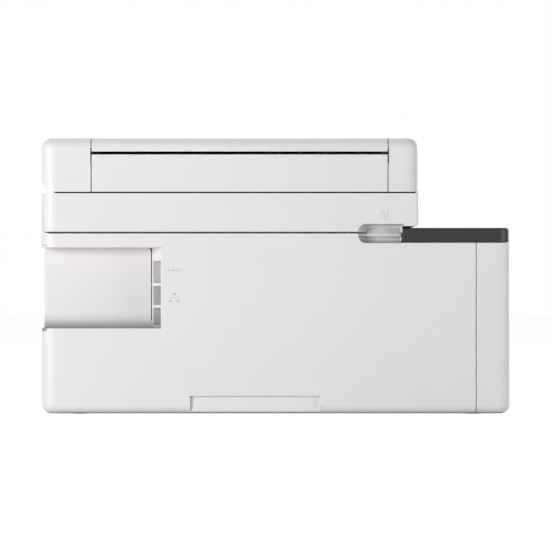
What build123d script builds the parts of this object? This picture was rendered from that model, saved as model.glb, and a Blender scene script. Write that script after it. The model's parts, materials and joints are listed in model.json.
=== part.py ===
from build123d import *
import os
from math import hypot

os.makedirs("parts", exist_ok=True)

# Ink-tank all-in-one inkjet printer with a document feeder in its lid.
# +X is the printer's right hand seen from its front, +Y its back, +Z up; it stands on Z = 0.

# ------------------------------------------------------------------ overall sizes, mm
WIDTH = 434.0
DEPTH = 360.0
HALF_W = WIDTH / 2
HALF_D = DEPTH / 2
WALL = 2.5
PLAN_CORNER_R = 12.0

# ------------------------------------------------------------------ clearances
FIT = 0.3
SWING_GAP = 0.5
RUNNING = 0.05
BODY_SEAM = 1.1
LID_SEAM = 1.3

# ------------------------------------------------------------------ stacking heights
FOOT_PROUD = 1.0
BODY_TOP = 167.4
SCANNER_BOTTOM = BODY_TOP + BODY_SEAM
SCANNER_HEIGHT = 36.1
SCANNER_TOP = SCANNER_BOTTOM + SCANNER_HEIGHT
LID_BOTTOM = SCANNER_TOP + LID_SEAM
LID_HEIGHT = 49.6
HEIGHT = LID_BOTTOM + LID_HEIGHT
FLAP_THICK = 12.3
FLAP_BOTTOM = HEIGHT - FLAP_THICK
TOWER_TOP = FLAP_BOTTOM - 2.6

# ------------------------------------------------------------------ body shell
BODY_EDGE_R = 8.0
SIDE_INSET = 1.8
RIM = 10.0
FLOOR_BOTTOM = FOOT_PROUD + 0.6
FLOOR_TOP = FLOOR_BOTTOM + 3.0
FRONT_SEAM_Y = -HALF_D + 30.0
COVER_SEAM_X = -HALF_W + 31.9
FOOT_R = 9.0
FOOT_INSET = 34.0

# ------------------------------------------------------------------ ink side
DECK_IN_X = -HALF_W + 99.9
DECK_OUT_X = -HALF_W + 0.8
DECK_BOTTOM = BODY_TOP - 7.9
DECK_TOP = BODY_TOP + 5.2
DECK_SEAM = 0.7
WELL_IN_X = -HALF_W + 82.0
WELL_OUT_X = -HALF_W + 5.5
WELL_FRONT_Y = -HALF_D + 14.0
WELL_BACK_Y = -HALF_D + 124.5
WELL_FLOOR = DECK_TOP - 38.6
WELL_WALL = 2.0
INK_LID_THICK = 6.0
TANK_COUNT = 4
TANK_PITCH = 18.5
TANK_GAP = 0.8
TANK_WALL = 1.5
TANK_BOTTOM = 24.0
WINDOW_BOTTOM = 40.0
WINDOW_TOP = WELL_FLOOR - 6.0
NECK_R = 5.0
NECK_TOP = WELL_FLOOR + 7.0
CAP_R = 7.5
CAP_THICK = 5.0
CAP_AXIS_R = 2.4

# ------------------------------------------------------------------ port bay in the back, right side
BAY_FLOOR_X = 115.4
BAY_LIP_X = 105.5
BAY_DEPTH = 22.0
BAY_TOP = BODY_TOP - 13.0
BAY_BOTTOM = BAY_TOP - 74.8
BAY_LINER = 2.0
BAY_FOOT_R = 8.0

# ------------------------------------------------------------------ finger scoop and plinth recess
SCOOP_X0 = DECK_IN_X
SCOOP_X1 = DECK_IN_X + 41.0
SCOOP_BOTTOM = BODY_TOP - 8.8
SCOOP_TOP = SCANNER_BOTTOM + 7.7
SCOOP_DEPTH = 13.0
SCOOP_R = 7.0
PLINTH_X0 = -41.0
PLINTH_X1 = 79.4
PLINTH_TOP = 17.0
PLINTH_DEPTH = 3.0

# ------------------------------------------------------------------ paper path
PAPER_X = 12.0
PAPER_HALF = 105.0
TRAY_HALF = 130.0
TRAY_BOTTOM = 8.5
TRAY_FRONT_TOP = 50.0
TRAY_WALL_TOP = TRAY_FRONT_TOP - 8.0
TRAY_LENGTH = 310.0
GUIDE_LENGTH = 120.0
SLOT_HALF = 124.0
SLOT_BOTTOM = TRAY_FRONT_TOP + 3.0
SLOT_TOP = SLOT_BOTTOM + 52.0
SLOT_LENGTH = 120.0
OUT_TRAY_LENGTH = 150.0
EXT_LENGTH = 140.0
STOP_LENGTH = 34.0
STOP_THICK = 4.0

# ------------------------------------------------------------------ control panel
PANEL_THICK = 14.0
PANEL_BOTTOM = SLOT_TOP + 5.0
PANEL_TOP = BODY_TOP - 5.4
SCREEN_HALF = 52.0

# ------------------------------------------------------------------ print mechanism
CHASSIS_X0 = -HALF_W + 95.0
CHASSIS_X1 = HALF_W - 13.5
SHEET = 1.5
BEAM_Y = 72.0
CARRIAGE_HALF = 34.0
CARRIAGE_X = CHASSIS_X1 - 42.5
FEED_Y = 55.0
FEED_Z = SLOT_BOTTOM + 29.0
BEAM_BOTTOM = FEED_Z + 16.0
BEAM_TOP = FEED_Z + 64.0
CARRIAGE_Z = FEED_Z + 14.0
FEED_R = 7.0
EJECT_Y = -25.0
PINCH_R = 4.0
PICK_Y = 85.0
PICK_R = 16.0
PICK_Z = TRAY_WALL_TOP + PICK_R + 2.0
GEAR_R = 20.0
PINION_R = 5.0
GEAR_WIDTH = 4.0
GEAR_GAP = 0.35
BELT_Z = BEAM_TOP - 18.0
PULLEY_R = 7.5
BELT_THICK = 1.2

# ------------------------------------------------------------------ scanner unit
SCANNER_LEFT = -HALF_W + 85.3
SCANNER_STEP = DECK_TOP + 1.6
SCANNER_AXIS_Z = SCANNER_BOTTOM + 20.0
SCANNER_EDGE_R = 2.0
SCANNER_FOOT_R = 3.2        # rounding under the overhanging end, beside the ink deck
EYE_R = 4.0
SCANNER_AXIS_Y = HALF_D - WALL - EYE_R - SWING_GAP
PIN_R = 2.0
BRACKET_X = (-68.0, HALF_W - 27.0)
BRACKET_THICK = 4.0
GLASS_X = 60.0
GLASS_HALF_X = 108.0
GLASS_Y0 = -135.0
GLASS_Y1 = 162.0
GLASS_THICK = 3.0
STRIP_Y0 = -HALF_D + 20.0
STRIP_Y1 = GLASS_Y0 - 8.0
SCAN_BAR_DEPTH = 20.0
RAIL_R = 3.0

# ------------------------------------------------------------------ lid and document feeder
LID_TOP_R = 9.5
LID_GRIP_WIDTH = 11.0
LID_GRIP_HEIGHT = 9.0
LID_SEAM_X0 = -HALF_W + 113.4
LID_SEAM_X1 = HALF_W - 46.1
LID_SEAM_GAP = 0.8
LID_AXIS_Y = HALF_D - 6.0
LID_AXIS_Z = FLAP_BOTTOM - 19.2
LID_PIN_R = 3.0
TOWER_WALL = 3.0
TOWER_EAR = 16.0
LID_FLOOR_BACK = LID_AXIS_Y - 23.0
FEEDER_FRONT = -HALF_D + 14.0
FEEDER_SPLIT = -HALF_D + 60.0
HALF_FLAP = FLAP_THICK / 2
FLAP_AXIS_Z = HEIGHT - HALF_FLAP


# ------------------------------------------------------------------ shared shapes
def block(x0, x1, y0, y1, z0, z1):
    """Rectangular block between two opposite corners."""
    centre = Pos((x0 + x1) / 2, (y0 + y1) / 2, (z0 + z1) / 2)
    return centre * Box(x1 - x0, y1 - y0, z1 - z0)


def rod_x(x0, x1, y, z, radius):
    """Round bar along X."""
    return Pos((x0 + x1) / 2, y, z) * Rot(0, 90, 0) * Cylinder(radius, x1 - x0)


def rod_y(y0, y1, x, z, radius):
    """Round bar along Y."""
    return Pos(x, (y0 + y1) / 2, z) * Rot(90, 0, 0) * Cylinder(radius, y1 - y0)


def rod_z(z0, z1, x, y, radius):
    """Round bar along Z."""
    return Pos(x, y, (z0 + z1) / 2) * Cylinder(radius, z1 - z0)


def profile_x(x0, x1, points):
    """Outline given as (y, z) corners, carried along X."""
    outline = Plane.YZ * make_face(Polyline(*points, close=True))
    return Pos(x0, 0, 0) * extrude(outline, x1 - x0)


def profile_z(z0, z1, points):
    """Outline given as (x, y) corners, carried along Z."""
    return Pos(0, 0, z0) * extrude(make_face(Polyline(*points, close=True)), z1 - z0)


def upright_edges(solid):
    return solid.edges().filter_by(Axis.Z)


def gear(x0, x1, y, z, radius, teeth):
    """Spur wheel on an X axis with plain square teeth."""
    tooth = radius * 3.0 / teeth
    disc = rod_x(x0, x1, y, z, radius - tooth)
    spoke = Pos(0, 0, radius - tooth) * Box(x1 - x0, tooth, tooth * 2)
    mid = Pos((x0 + x1) / 2, y, z)
    return disc + [mid * Rot(360.0 * i / teeth, 0, 0) * spoke for i in range(teeth)]


def hinged_slab(x0, x1, axis_y, axis_z, thick, far_y):
    """Flat slab whose near edge is a half round about its own hinge axis."""
    near, far = min(axis_y, far_y), max(axis_y, far_y)
    slab = block(x0, x1, near, far, axis_z - thick / 2, axis_z + thick / 2)
    return slab + rod_x(x0, x1, axis_y, axis_z, thick / 2)


# ------------------------------------------------------------------ body
def body_outline(inset):
    """Body block with rounded upright and bottom edges, set in from the outside."""
    solid = block(-HALF_W + inset, HALF_W - inset, -HALF_D + inset, HALF_D - inset,
                  FOOT_PROUD + inset, BODY_TOP - inset)
    solid = fillet(upright_edges(solid), PLAN_CORNER_R - inset)
    bottom = solid.faces().sort_by(Axis.Z)[0]
    return fillet(bottom.edges(), BODY_EDGE_R - inset)


def bay_prism(grow):
    """Port bay space: flat floor facing back and one slanted wall that carries the ports."""
    run = BAY_FLOOR_X - BAY_LIP_X
    slant = hypot(run, BAY_DEPTH)
    floor_y = HALF_D - BAY_DEPTH - grow
    past = 1.0 + BAY_LINER
    corner_x = BAY_FLOOR_X - grow * (slant - run) / BAY_DEPTH
    lip_x = BAY_LIP_X - grow * slant / BAY_DEPTH - run * past / BAY_DEPTH
    points = [(corner_x, floor_y), (HALF_W + past, floor_y),
              (HALF_W + past, HALF_D + past), (lip_x, HALF_D + past)]
    return profile_z(BAY_BOTTOM - grow, BAY_TOP + grow, points)


def bay_space():
    """Open space of the port bay, its foot swept up in a round."""
    space = bay_prism(0)
    foot = space.faces().sort_by(Axis.Z)[0].edges().filter_by(Axis.X).sort_by(Axis.Y)[0]
    return fillet(foot, BAY_FOOT_R)


def scoop_space():
    """Finger scoop that crosses the seam below the scanner."""
    space = block(SCOOP_X0 - 1, SCOOP_X1, HALF_D - SCOOP_DEPTH, HALF_D + 1,
                  SCOOP_BOTTOM, SCOOP_TOP)
    ends = space.edges().filter_by(Axis.Y).sort_by(Axis.X)[-2:]
    space = fillet(ends, SCOOP_R)
    inner = space.faces().sort_by(Axis.Y)[0]
    return fillet(inner.edges(), 4.0)


DECK_PLATE = (DECK_IN_X + 1.2, HALF_W - RIM, FRONT_SEAM_Y - 6.0, HALF_D - RIM)
SHAFT_SPAN = (CHASSIS_X0 - 3.0 * SHEET, CHASSIS_X1 + SHEET)
PILLAR_X = (-30.0, 55.0, 140.0)
PILLAR_Y = HALF_D - 15.0
PILLAR_FOOT = BAY_TOP + BAY_LINER + 1.1
SCREW_R = 1.5
SCREW_HEAD_R = 3.0


def whole_body():
    """Hollow body before it is divided into its mouldings."""
    inside = body_outline(WALL)
    inside -= block(HALF_W - WALL - SIDE_INSET, HALF_W, -HALF_D, HALF_D, 0, HEIGHT)
    inside -= block(SCOOP_X0 + 0.7, SCOOP_X1 + 3, HALF_D - SCOOP_DEPTH - 3, HALF_D,
                    SCOOP_BOTTOM - 3, BODY_TOP)
    inside -= block(PLINTH_X0 - 3, PLINTH_X1 + 3, HALF_D - PLINTH_DEPTH - 3, HALF_D,
                    0, PLINTH_TOP + 3)
    solid = body_outline(0) - inside
    solid -= block(HALF_W - SIDE_INSET, HALF_W + 1, -HALF_D - 1, HALF_D + 1,
                   BAY_BOTTOM, BAY_TOP)
    solid -= block(-HALF_W - 1, SCOOP_X0 + 0.7, -HALF_D - 1, HALF_D + 1,
                   DECK_BOTTOM - DECK_SEAM, HEIGHT)
    solid -= block(-HALF_W + RIM - FIT, HALF_W - RIM + FIT, -HALF_D + RIM - FIT,
                   HALF_D - RIM + FIT, 0, FLOOR_TOP)
    solid -= scoop_space()
    solid -= block(PLINTH_X0, PLINTH_X1, HALF_D - PLINTH_DEPTH, HALF_D + 1, 0, PLINTH_TOP)
    return solid


BODY = whole_body()


def make_shell():
    """Back and right side moulding with the pillars that carry the top deck."""
    solid = BODY & block(COVER_SEAM_X + FIT, HALF_W + 1, FRONT_SEAM_Y + FIT, HALF_D + 1,
                         0, HEIGHT)
    x0, x1, y0, y1 = DECK_PLATE
    solid -= block(x0 - 2, x1 + FIT, y0, y1 + FIT, BODY_TOP - WALL - 0.1, HEIGHT)
    solid -= bay_prism(0)
    solid -= bay_prism(BAY_LINER + FIT) & block(0, HALF_W + 1, 0, HALF_D - WALL, 0, HEIGHT)
    for x in PILLAR_X:
        solid += block(x - 5, x + 5, PILLAR_Y - 5, HALF_D - WALL, PILLAR_FOOT,
                       BODY_TOP - WALL)
        solid -= rod_z(PILLAR_FOOT - 1, BODY_TOP, x, PILLAR_Y, SCREW_R)
    return solid


def make_side_cover():
    """Left side moulding that wraps round the back corner beside the ink tanks."""
    return BODY & block(-HALF_W - 1, COVER_SEAM_X - FIT, FRONT_SEAM_Y + FIT, HALF_D + 1,
                        0, HEIGHT)


def make_upper_frame():
    """Front fascia with the output tunnel and panel recess, and the deck behind it."""
    solid = BODY & block(-HALF_W - 1, HALF_W + 1, -HALF_D - 1, FRONT_SEAM_Y - FIT, 0, HEIGHT)
    x0, x1, y0, y1 = DECK_PLATE
    solid += block(x0, x1, y0, y1, BODY_TOP - WALL, BODY_TOP)
    sleeve_back = -HALF_D + SLOT_LENGTH
    solid += block(PAPER_X - SLOT_HALF - WALL, PAPER_X + SLOT_HALF + WALL, -HALF_D + 1,
                   sleeve_back, SLOT_BOTTOM - WALL + 0.3, SLOT_TOP + WALL)
    solid += block(PAPER_X - SLOT_HALF - WALL, PAPER_X + SLOT_HALF + WALL, -HALF_D + 1,
                   -HALF_D + PANEL_THICK + 3 * WALL, SLOT_TOP, BODY_TOP - 1)
    solid -= block(PAPER_X - SLOT_HALF, PAPER_X + SLOT_HALF, -HALF_D - 1, sleeve_back + 1,
                   SLOT_BOTTOM, SLOT_TOP)
    solid -= block(PAPER_X - SLOT_HALF, PAPER_X + SLOT_HALF, -HALF_D - 1,
                   -HALF_D + PANEL_THICK + SWING_GAP, PANEL_BOTTOM - SWING_GAP,
                   PANEL_TOP + SWING_GAP)
    solid -= block(PAPER_X - TRAY_HALF - SWING_GAP, PAPER_X + TRAY_HALF + SWING_GAP,
                   -HALF_D - 1, FRONT_SEAM_Y, FLOOR_TOP, TRAY_FRONT_TOP + SWING_GAP)
    solid -= block(WELL_OUT_X + 3, WELL_IN_X - 3, -HALF_D - 1, -HALF_D + 2 * WALL,
                   WINDOW_BOTTOM, WINDOW_TOP)
    solid -= block(DECK_IN_X + 14, CHASSIS_X1 - 5, -HALF_D + 60, BEAM_Y + 38,
                   BODY_TOP - WALL - 1, HEIGHT)
    panel_y, panel_z = panel_axis()
    solid -= rod_x(PAPER_X - SLOT_HALF - WALL, PAPER_X + SLOT_HALF + WALL, panel_y, panel_z,
                   PIN_R + RUNNING)
    for x in PILLAR_X:
        solid -= rod_z(BODY_TOP - WALL - 1, BODY_TOP + 1, x, PILLAR_Y, SCREW_R)
        solid -= rod_z(BODY_TOP - 1.6, BODY_TOP + 1, x, PILLAR_Y, SCREW_HEAD_R + 0.2)
    for x in BRACKET_X:
        half = BRACKET_THICK / 2 + FIT
        leg = SCANNER_AXIS_Y - 20
        solid -= block(x - half, x + half, leg - FIT, leg + 6 + FIT,
                       BODY_TOP - WALL - 1, HEIGHT)
    return solid


def make_base_tray():
    """Bottom plate with tray rails, tank shelf, power-supply posts and foot pockets."""
    solid = block(-HALF_W + RIM, HALF_W - RIM, -HALF_D + RIM, HALF_D - RIM,
                  FLOOR_BOTTOM, FLOOR_TOP)
    solid = fillet(upright_edges(solid), 4.0)
    for side in (-1, 1):
        rail = PAPER_X + side * (TRAY_HALF - 6)
        solid += block(rail - 4, rail + 4, -HALF_D + RIM, 140, FLOOR_TOP, TRAY_BOTTOM)
    for i in range(TANK_COUNT):
        x = tank_x(i)
        solid += block(x - 4, x + 4, WELL_FRONT_Y + 4, WELL_BACK_Y - 10, FLOOR_TOP, TANK_BOTTOM)
    for x in (CHASSIS_X0 + 0.75, CHASSIS_X1 - 0.75):
        solid += block(x - 5, x + 5, -45, -35, FLOOR_TOP, FLOOR_TOP + 6)
    for x, y in foot_places():
        solid -= rod_z(0, FLOOR_BOTTOM + 1.5, x, y, FOOT_R + 0.1)
    return solid


def foot_places():
    return [(sx * (HALF_W - FOOT_INSET), sy * (HALF_D - FOOT_INSET))
            for sx in (-1, 1) for sy in (-1, 1)]


def make_feet():
    """Four round rubber pads with a softened lower edge."""
    feet = []
    for x, y in foot_places():
        foot = rod_z(0, FLOOR_BOTTOM + 1.5, x, y, FOOT_R)
        rim = foot.edges().filter_by(GeomType.CIRCLE).sort_by(Axis.Z)[0]
        feet.append(chamfer(rim, 0.5))
    return Compound(children=feet)


def make_screws():
    """Pan-head screws that hold the top deck to the shell pillars."""
    screws = []
    for x in PILLAR_X:
        screw = rod_z(BODY_TOP - 1.6, BODY_TOP - 0.1, x, PILLAR_Y, SCREW_HEAD_R)
        screw += rod_z(PILLAR_FOOT + 1, BODY_TOP - 1, x, PILLAR_Y, SCREW_R)
        screw -= block(x - 2, x + 2, PILLAR_Y - 0.35, PILLAR_Y + 0.35, BODY_TOP - 0.8, BODY_TOP)
        screw -= block(x - 0.35, x + 0.35, PILLAR_Y - 2, PILLAR_Y + 2, BODY_TOP - 0.8, BODY_TOP)
        screws.append(screw)
    return Compound(children=screws)


# ------------------------------------------------------------------ port bay
PORT_SLANT = hypot(BAY_FLOOR_X - BAY_LIP_X, BAY_DEPTH)
PORT_FACE = Plane(
    origin=((BAY_FLOOR_X + BAY_LIP_X) / 2, HALF_D - BAY_DEPTH / 2, 0),
    x_dir=(BAY_LIP_X - BAY_FLOOR_X, BAY_DEPTH, 0),
    z_dir=(BAY_DEPTH, BAY_FLOOR_X - BAY_LIP_X, 0),
)
USB_Z = (BAY_BOTTOM + 42.0, BAY_BOTTOM + 62.3)
LAN_Z = (BAY_BOTTOM + 21.6, BAY_BOTTOM + 39.2)
INLET_Z = (BAY_BOTTOM + 3.1, BAY_BOTTOM + 18.9)
PORT_WINDOW = 18.4
PORT_RECESS = 8.8


def on_port_face(width, z0, z1, out0, out1):
    """Block on the slanted wall: width along the slant, out0..out1 along its outward normal."""
    height = z1 - z0
    local = Pos(0, -(z0 + z1) / 2, (out0 + out1) / 2) * Box(width, height, out1 - out0)
    up = PORT_FACE.y_dir.Z
    if up > 0:
        local = Pos(0, (z0 + z1) / 2, (out0 + out1) / 2) * Box(width, height, out1 - out0)
    return PORT_FACE.location * local


def make_bay_panel():
    """Moulded liner of the port bay with one deep window per socket."""
    behind_wall = block(0, HALF_W + 1, 0, HALF_D - WALL, 0, HEIGHT)
    solid = (bay_prism(BAY_LINER) & behind_wall) - bay_space()
    solid &= body_outline(0)
    solid -= block(HALF_W - SIDE_INSET, HALF_W + 1, 0, HALF_D + 1, BAY_BOTTOM, BAY_TOP)
    solid -= block(BAY_FLOOR_X, BAY_FLOOR_X + 0.8, HALF_D - BAY_DEPTH - 0.8,
                   HALF_D - BAY_DEPTH + 1, BAY_BOTTOM + BAY_FOOT_R, BAY_TOP)
    for z0, z1 in (USB_Z, LAN_Z, INLET_Z):
        collar = on_port_face(PORT_WINDOW + 3.0, z0 - 1.5, z1 + 1.5, -PORT_RECESS,
                              -BAY_LINER / 2)
        solid += collar & behind_wall
    for z0, z1 in (USB_Z, LAN_Z, INLET_Z):
        solid -= on_port_face(PORT_WINDOW, z0, z1, -PORT_RECESS - 1.0, 2.0)
    return solid


def make_usb_socket():
    """Square data socket: metal shroud with a central tongue."""
    z0, z1 = USB_Z
    mid = (z0 + z1) / 2
    face = -PORT_RECESS
    solid = on_port_face(PORT_WINDOW, z0 + 0.3, z1 - 0.3, face - 12.0, face)
    solid -= on_port_face(9.0, mid - 5.8, mid + 5.8, face - 10.0, face + 1)
    solid += on_port_face(3.2, mid - 4.0, mid + 4.0, face - 10.5, face - 2.0)
    return solid


def make_ethernet_socket():
    """Network socket: open box with a contact comb and a latch notch."""
    z0, z1 = LAN_Z
    mid = (z0 + z1) / 2
    face = -PORT_RECESS
    solid = on_port_face(PORT_WINDOW, z0 + 0.3, z1 - 0.3, face - 14.0, face)
    solid -= on_port_face(9.0, mid - 6.0, mid + 6.0, face - 12.0, face + 1)
    solid -= on_port_face(13.0, mid - 3.0, mid + 3.0, face - 12.0, face + 1)
    for i in range(8):
        z = mid - 4.5 + i * 9.0 / 7.0
        solid += on_port_face(1.4, z - 0.3, z + 0.3, face - 12.6, face - 3.0)
    return solid


def make_power_inlet():
    """Two-pin figure-eight mains inlet."""
    z0, z1 = INLET_Z
    mid = (z0 + z1) / 2
    face = -PORT_RECESS
    solid = on_port_face(PORT_WINDOW, z0 + 0.3, z1 - 0.3, face - 16.0, face)
    solid -= on_port_face(7.0, mid - 6.4, mid + 6.4, face - 13.0, face + 1)
    for z in (mid - 3.2, mid + 3.2):
        solid += on_port_face(2.0, z - 1.0, z + 1.0, face - 14.0, face - 2.5)
    return solid


# ------------------------------------------------------------------ ink side
def tank_x(i):
    centre = (WELL_IN_X + WELL_OUT_X) / 2
    return centre + (i - (TANK_COUNT - 1) / 2) * TANK_PITCH


NECK_Y = WELL_FRONT_Y + 68.0
CAP_AXIS_Y = NECK_Y + CAP_R + 5.5
CAP_AXIS_Z = NECK_TOP + CAP_THICK - CAP_AXIS_R + 0.4
INK_AXIS_Y = WELL_BACK_Y - SWING_GAP - INK_LID_THICK / 2
INK_AXIS_Z = DECK_TOP - INK_LID_THICK / 2


def make_ink_deck():
    """Dark deck over the tanks, with a sunken well under the ink lid."""
    solid = block(DECK_OUT_X, DECK_IN_X, -HALF_D + 0.8, HALF_D, DECK_BOTTOM, DECK_TOP)
    corners = upright_edges(solid).sort_by(Axis.X)[:2]
    solid = fillet(corners, PLAN_CORNER_R)
    solid = fillet(solid.faces().sort_by(Axis.Z)[-1].edges(), 2.5)
    hollow = block(DECK_OUT_X + WALL, DECK_IN_X - WALL, -HALF_D + 12, HALF_D - WALL,
                   DECK_BOTTOM - 1, DECK_TOP - WALL)
    solid -= fillet(upright_edges(hollow).sort_by(Axis.X)[:2], PLAN_CORNER_R - WALL)
    solid += block(WELL_OUT_X - WELL_WALL, WELL_IN_X + WELL_WALL, WELL_FRONT_Y - WELL_WALL,
                   WELL_BACK_Y + WELL_WALL, WELL_FLOOR - WELL_WALL, DECK_TOP - 1)
    solid -= block(WELL_OUT_X, WELL_IN_X, WELL_FRONT_Y, WELL_BACK_Y, WELL_FLOOR, DECK_TOP + 1)
    solid -= rod_x(WELL_OUT_X - WELL_WALL, WELL_IN_X + WELL_WALL, INK_AXIS_Y, INK_AXIS_Z,
                   1.5 + RUNNING)
    for x0 in (WELL_OUT_X, WELL_IN_X - 3):
        solid += block(x0, x0 + 3, WELL_FRONT_Y, WELL_FRONT_Y + 12, WELL_FLOOR,
                       DECK_TOP - INK_LID_THICK)
    for i in range(TANK_COUNT):
        x = tank_x(i)
        for side in (-1, 1):
            ear = x + side * 5.0
            solid += block(ear - 1.25, ear + 1.25, CAP_AXIS_Y - 3, CAP_AXIS_Y + 3,
                           WELL_FLOOR, CAP_AXIS_Z + 2.5)
        solid -= rod_x(x - 7, x + 7, CAP_AXIS_Y, CAP_AXIS_Z, 1.0 + RUNNING)
        solid -= rod_z(WELL_FLOOR - 3, WELL_FLOOR + 1, x, NECK_Y, NECK_R + FIT)
    return solid


def make_ink_tanks():
    """Four hollow tanks side by side, each with its filling neck."""
    tanks = []
    half = (TANK_PITCH - TANK_GAP) / 2
    top = WELL_FLOOR - WELL_WALL - FIT
    for i in range(TANK_COUNT):
        x = tank_x(i)
        tank = block(x - half, x + half, WELL_FRONT_Y + 1, WELL_BACK_Y - 6, TANK_BOTTOM, top)
        tank = fillet(upright_edges(tank), 2.0)
        tank += rod_z(top - 1, NECK_TOP, x, NECK_Y, NECK_R)
        tank -= block(x - half + TANK_WALL, x + half - TANK_WALL, WELL_FRONT_Y + 1 + TANK_WALL,
                      WELL_BACK_Y - 6 - TANK_WALL, TANK_BOTTOM + TANK_WALL, top - TANK_WALL)
        tank -= rod_z(top - 3, NECK_TOP + 1, x, NECK_Y, NECK_R - TANK_WALL)
        tanks.append(tank)
    return Compound(children=tanks)


def make_cap(i):
    """Hinged filler cap: plug, arm and hinge barrel with its two stub pins."""
    x = tank_x(i)
    base = NECK_TOP + 0.4
    solid = rod_z(base, base + CAP_THICK, x, NECK_Y, CAP_R)
    rim = solid.edges().filter_by(GeomType.CIRCLE).sort_by(Axis.Z)[-1]
    solid = fillet(rim, 1.2)
    solid += block(x - 3, x + 3, NECK_Y, CAP_AXIS_Y, base + CAP_THICK - 3.2, base + CAP_THICK)
    solid += rod_x(x - 3.3, x + 3.3, CAP_AXIS_Y, CAP_AXIS_Z, CAP_AXIS_R)
    solid += rod_x(x - 6.2, x + 6.2, CAP_AXIS_Y, CAP_AXIS_Z, 1.0)
    solid += block(x - 3, x + 3, NECK_Y - CAP_R - 1, NECK_Y, base + CAP_THICK - 2, base + CAP_THICK)
    return solid


def make_ink_lid():
    """Flush lid over the filler caps, hinged along its back edge."""
    x0 = WELL_OUT_X + SWING_GAP
    x1 = WELL_IN_X - SWING_GAP
    solid = hinged_slab(x0, x1, INK_AXIS_Y, INK_AXIS_Z, INK_LID_THICK, WELL_FRONT_Y + SWING_GAP)
    solid -= block(x0 + WALL, x1 - WALL, WELL_FRONT_Y + SWING_GAP + 14, INK_AXIS_Y - 5,
                   DECK_TOP - INK_LID_THICK - 1, DECK_TOP - WALL)
    grip = rod_x((x0 + x1) / 2 - 14, (x0 + x1) / 2 + 14, WELL_FRONT_Y, DECK_TOP + 1, 6.0)
    solid -= grip
    solid += rod_x(x0 - SWING_GAP - 1.5, x1 + SWING_GAP + 1.5, INK_AXIS_Y, INK_AXIS_Z, 1.5)
    return solid


def make_ink_window():
    """Clear window in the fascia, through which the tank levels are read."""
    solid = block(WELL_OUT_X + 3.2, WELL_IN_X - 3.2, -HALF_D + 0.6, -HALF_D + 2.6,
                  WINDOW_BOTTOM + 0.2, WINDOW_TOP - 0.2)
    return solid


# ------------------------------------------------------------------ front: trays and panel
def make_input_tray():
    """Paper drawer with a low back wall and a finger pull in its front."""
    x0 = PAPER_X - TRAY_HALF
    x1 = PAPER_X + TRAY_HALF
    back = -HALF_D + TRAY_LENGTH
    solid = block(x0 + 4, x1 - 4, -HALF_D + 2, back, TRAY_BOTTOM, TRAY_WALL_TOP)
    solid = fillet(upright_edges(solid), 3.0)
    solid -= block(x0 + 6.5, x1 - 6.5, -HALF_D + 10, back - WALL, TRAY_BOTTOM + WALL, HEIGHT)
    solid -= block(x0, x1, back - 30, back + 1, TRAY_WALL_TOP - 14, HEIGHT)
    solid += block(x0, x1, -HALF_D, -HALF_D + 10, TRAY_BOTTOM, TRAY_FRONT_TOP)
    grip = block(PAPER_X - 45, PAPER_X + 45, -HALF_D - 1, -HALF_D + 7.5,
                 TRAY_FRONT_TOP - 16, TRAY_FRONT_TOP - 6)
    grip = fillet(grip.edges().filter_by(Axis.Y), 4.0)
    solid -= grip
    for side in (-1, 1):
        groove = PAPER_X + side * 80
        solid -= block(groove - 32, groove + 32, -50 + 8, -50 + 14, TRAY_BOTTOM + 1.5, 20)
    return solid


def make_width_guide(side):
    """Side guide: upright wall on a foot that slides across the drawer floor."""
    inner = PAPER_X + side * PAPER_HALF
    outer = PAPER_X + side * (PAPER_HALF + 3)
    foot = PAPER_X + side * (PAPER_HALF + 14)
    floor = TRAY_BOTTOM + WALL + FIT
    y0 = -HALF_D + 70
    solid = block(min(inner, outer), max(inner, outer), y0, y0 + GUIDE_LENGTH, floor,
                  TRAY_WALL_TOP - 4)
    solid += block(min(inner, foot), max(inner, foot), y0 + 10, y0 + GUIDE_LENGTH - 10,
                   floor, floor + 2.5)
    for y in (y0 + 20, y0 + GUIDE_LENGTH - 30):
        solid += profile_rib(outer, foot, y, floor + 2)
    return solid


def profile_rib(x_wall, x_foot, y, z):
    """Triangular rib between a guide's wall and its foot."""
    outline = Plane.XZ * make_face(Polyline((x_wall, z), (x_foot, z), (x_wall, TRAY_WALL_TOP - 8),
                                             close=True))
    return Pos(0, y, 0) * extrude(outline, 3, both=True)


def make_output_tray():
    """Upper sliding leaf of the output tray, notched for the paper stop."""
    top = SLOT_BOTTOM + 9.0
    solid = block(PAPER_X - SLOT_HALF + 4, PAPER_X + SLOT_HALF - 4, -HALF_D + 4,
                  -HALF_D + 4 + OUT_TRAY_LENGTH, top - 4, top)
    solid = fillet(upright_edges(solid).sort_by(Axis.Y)[:2], 8.0)
    solid -= block(PAPER_X - 32, PAPER_X + 32, -HALF_D, -HALF_D + STOP_LENGTH + 16,
                   top - 10, top + 10)
    for side in (-1, 1):
        rail = PAPER_X + side * 58
        solid += block(rail - 2, rail + 2, -HALF_D + 20, -HALF_D + 4 + OUT_TRAY_LENGTH,
                       top - 8.2, top - 4)
    return solid


STOP_AXIS_Y = -HALF_D + 10.0
STOP_AXIS_Z = SLOT_BOTTOM + 7.0


def make_output_extension():
    """Lower sliding leaf with the two lugs that carry the paper stop."""
    solid = block(PAPER_X - 55, PAPER_X + 55, -HALF_D + 5, -HALF_D + 5 + EXT_LENGTH,
                  SLOT_BOTTOM + 1, SLOT_BOTTOM + 4)
    for side in (-1, 1):
        lug = PAPER_X + side * 28.5
        solid += block(lug - 2, lug + 2, STOP_AXIS_Y - 3, STOP_AXIS_Y + 3, SLOT_BOTTOM + 3,
                       STOP_AXIS_Z + 2)
        solid -= rod_x(lug - 3, lug + 3, STOP_AXIS_Y, STOP_AXIS_Z, 1.2 + RUNNING)
    return solid


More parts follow.
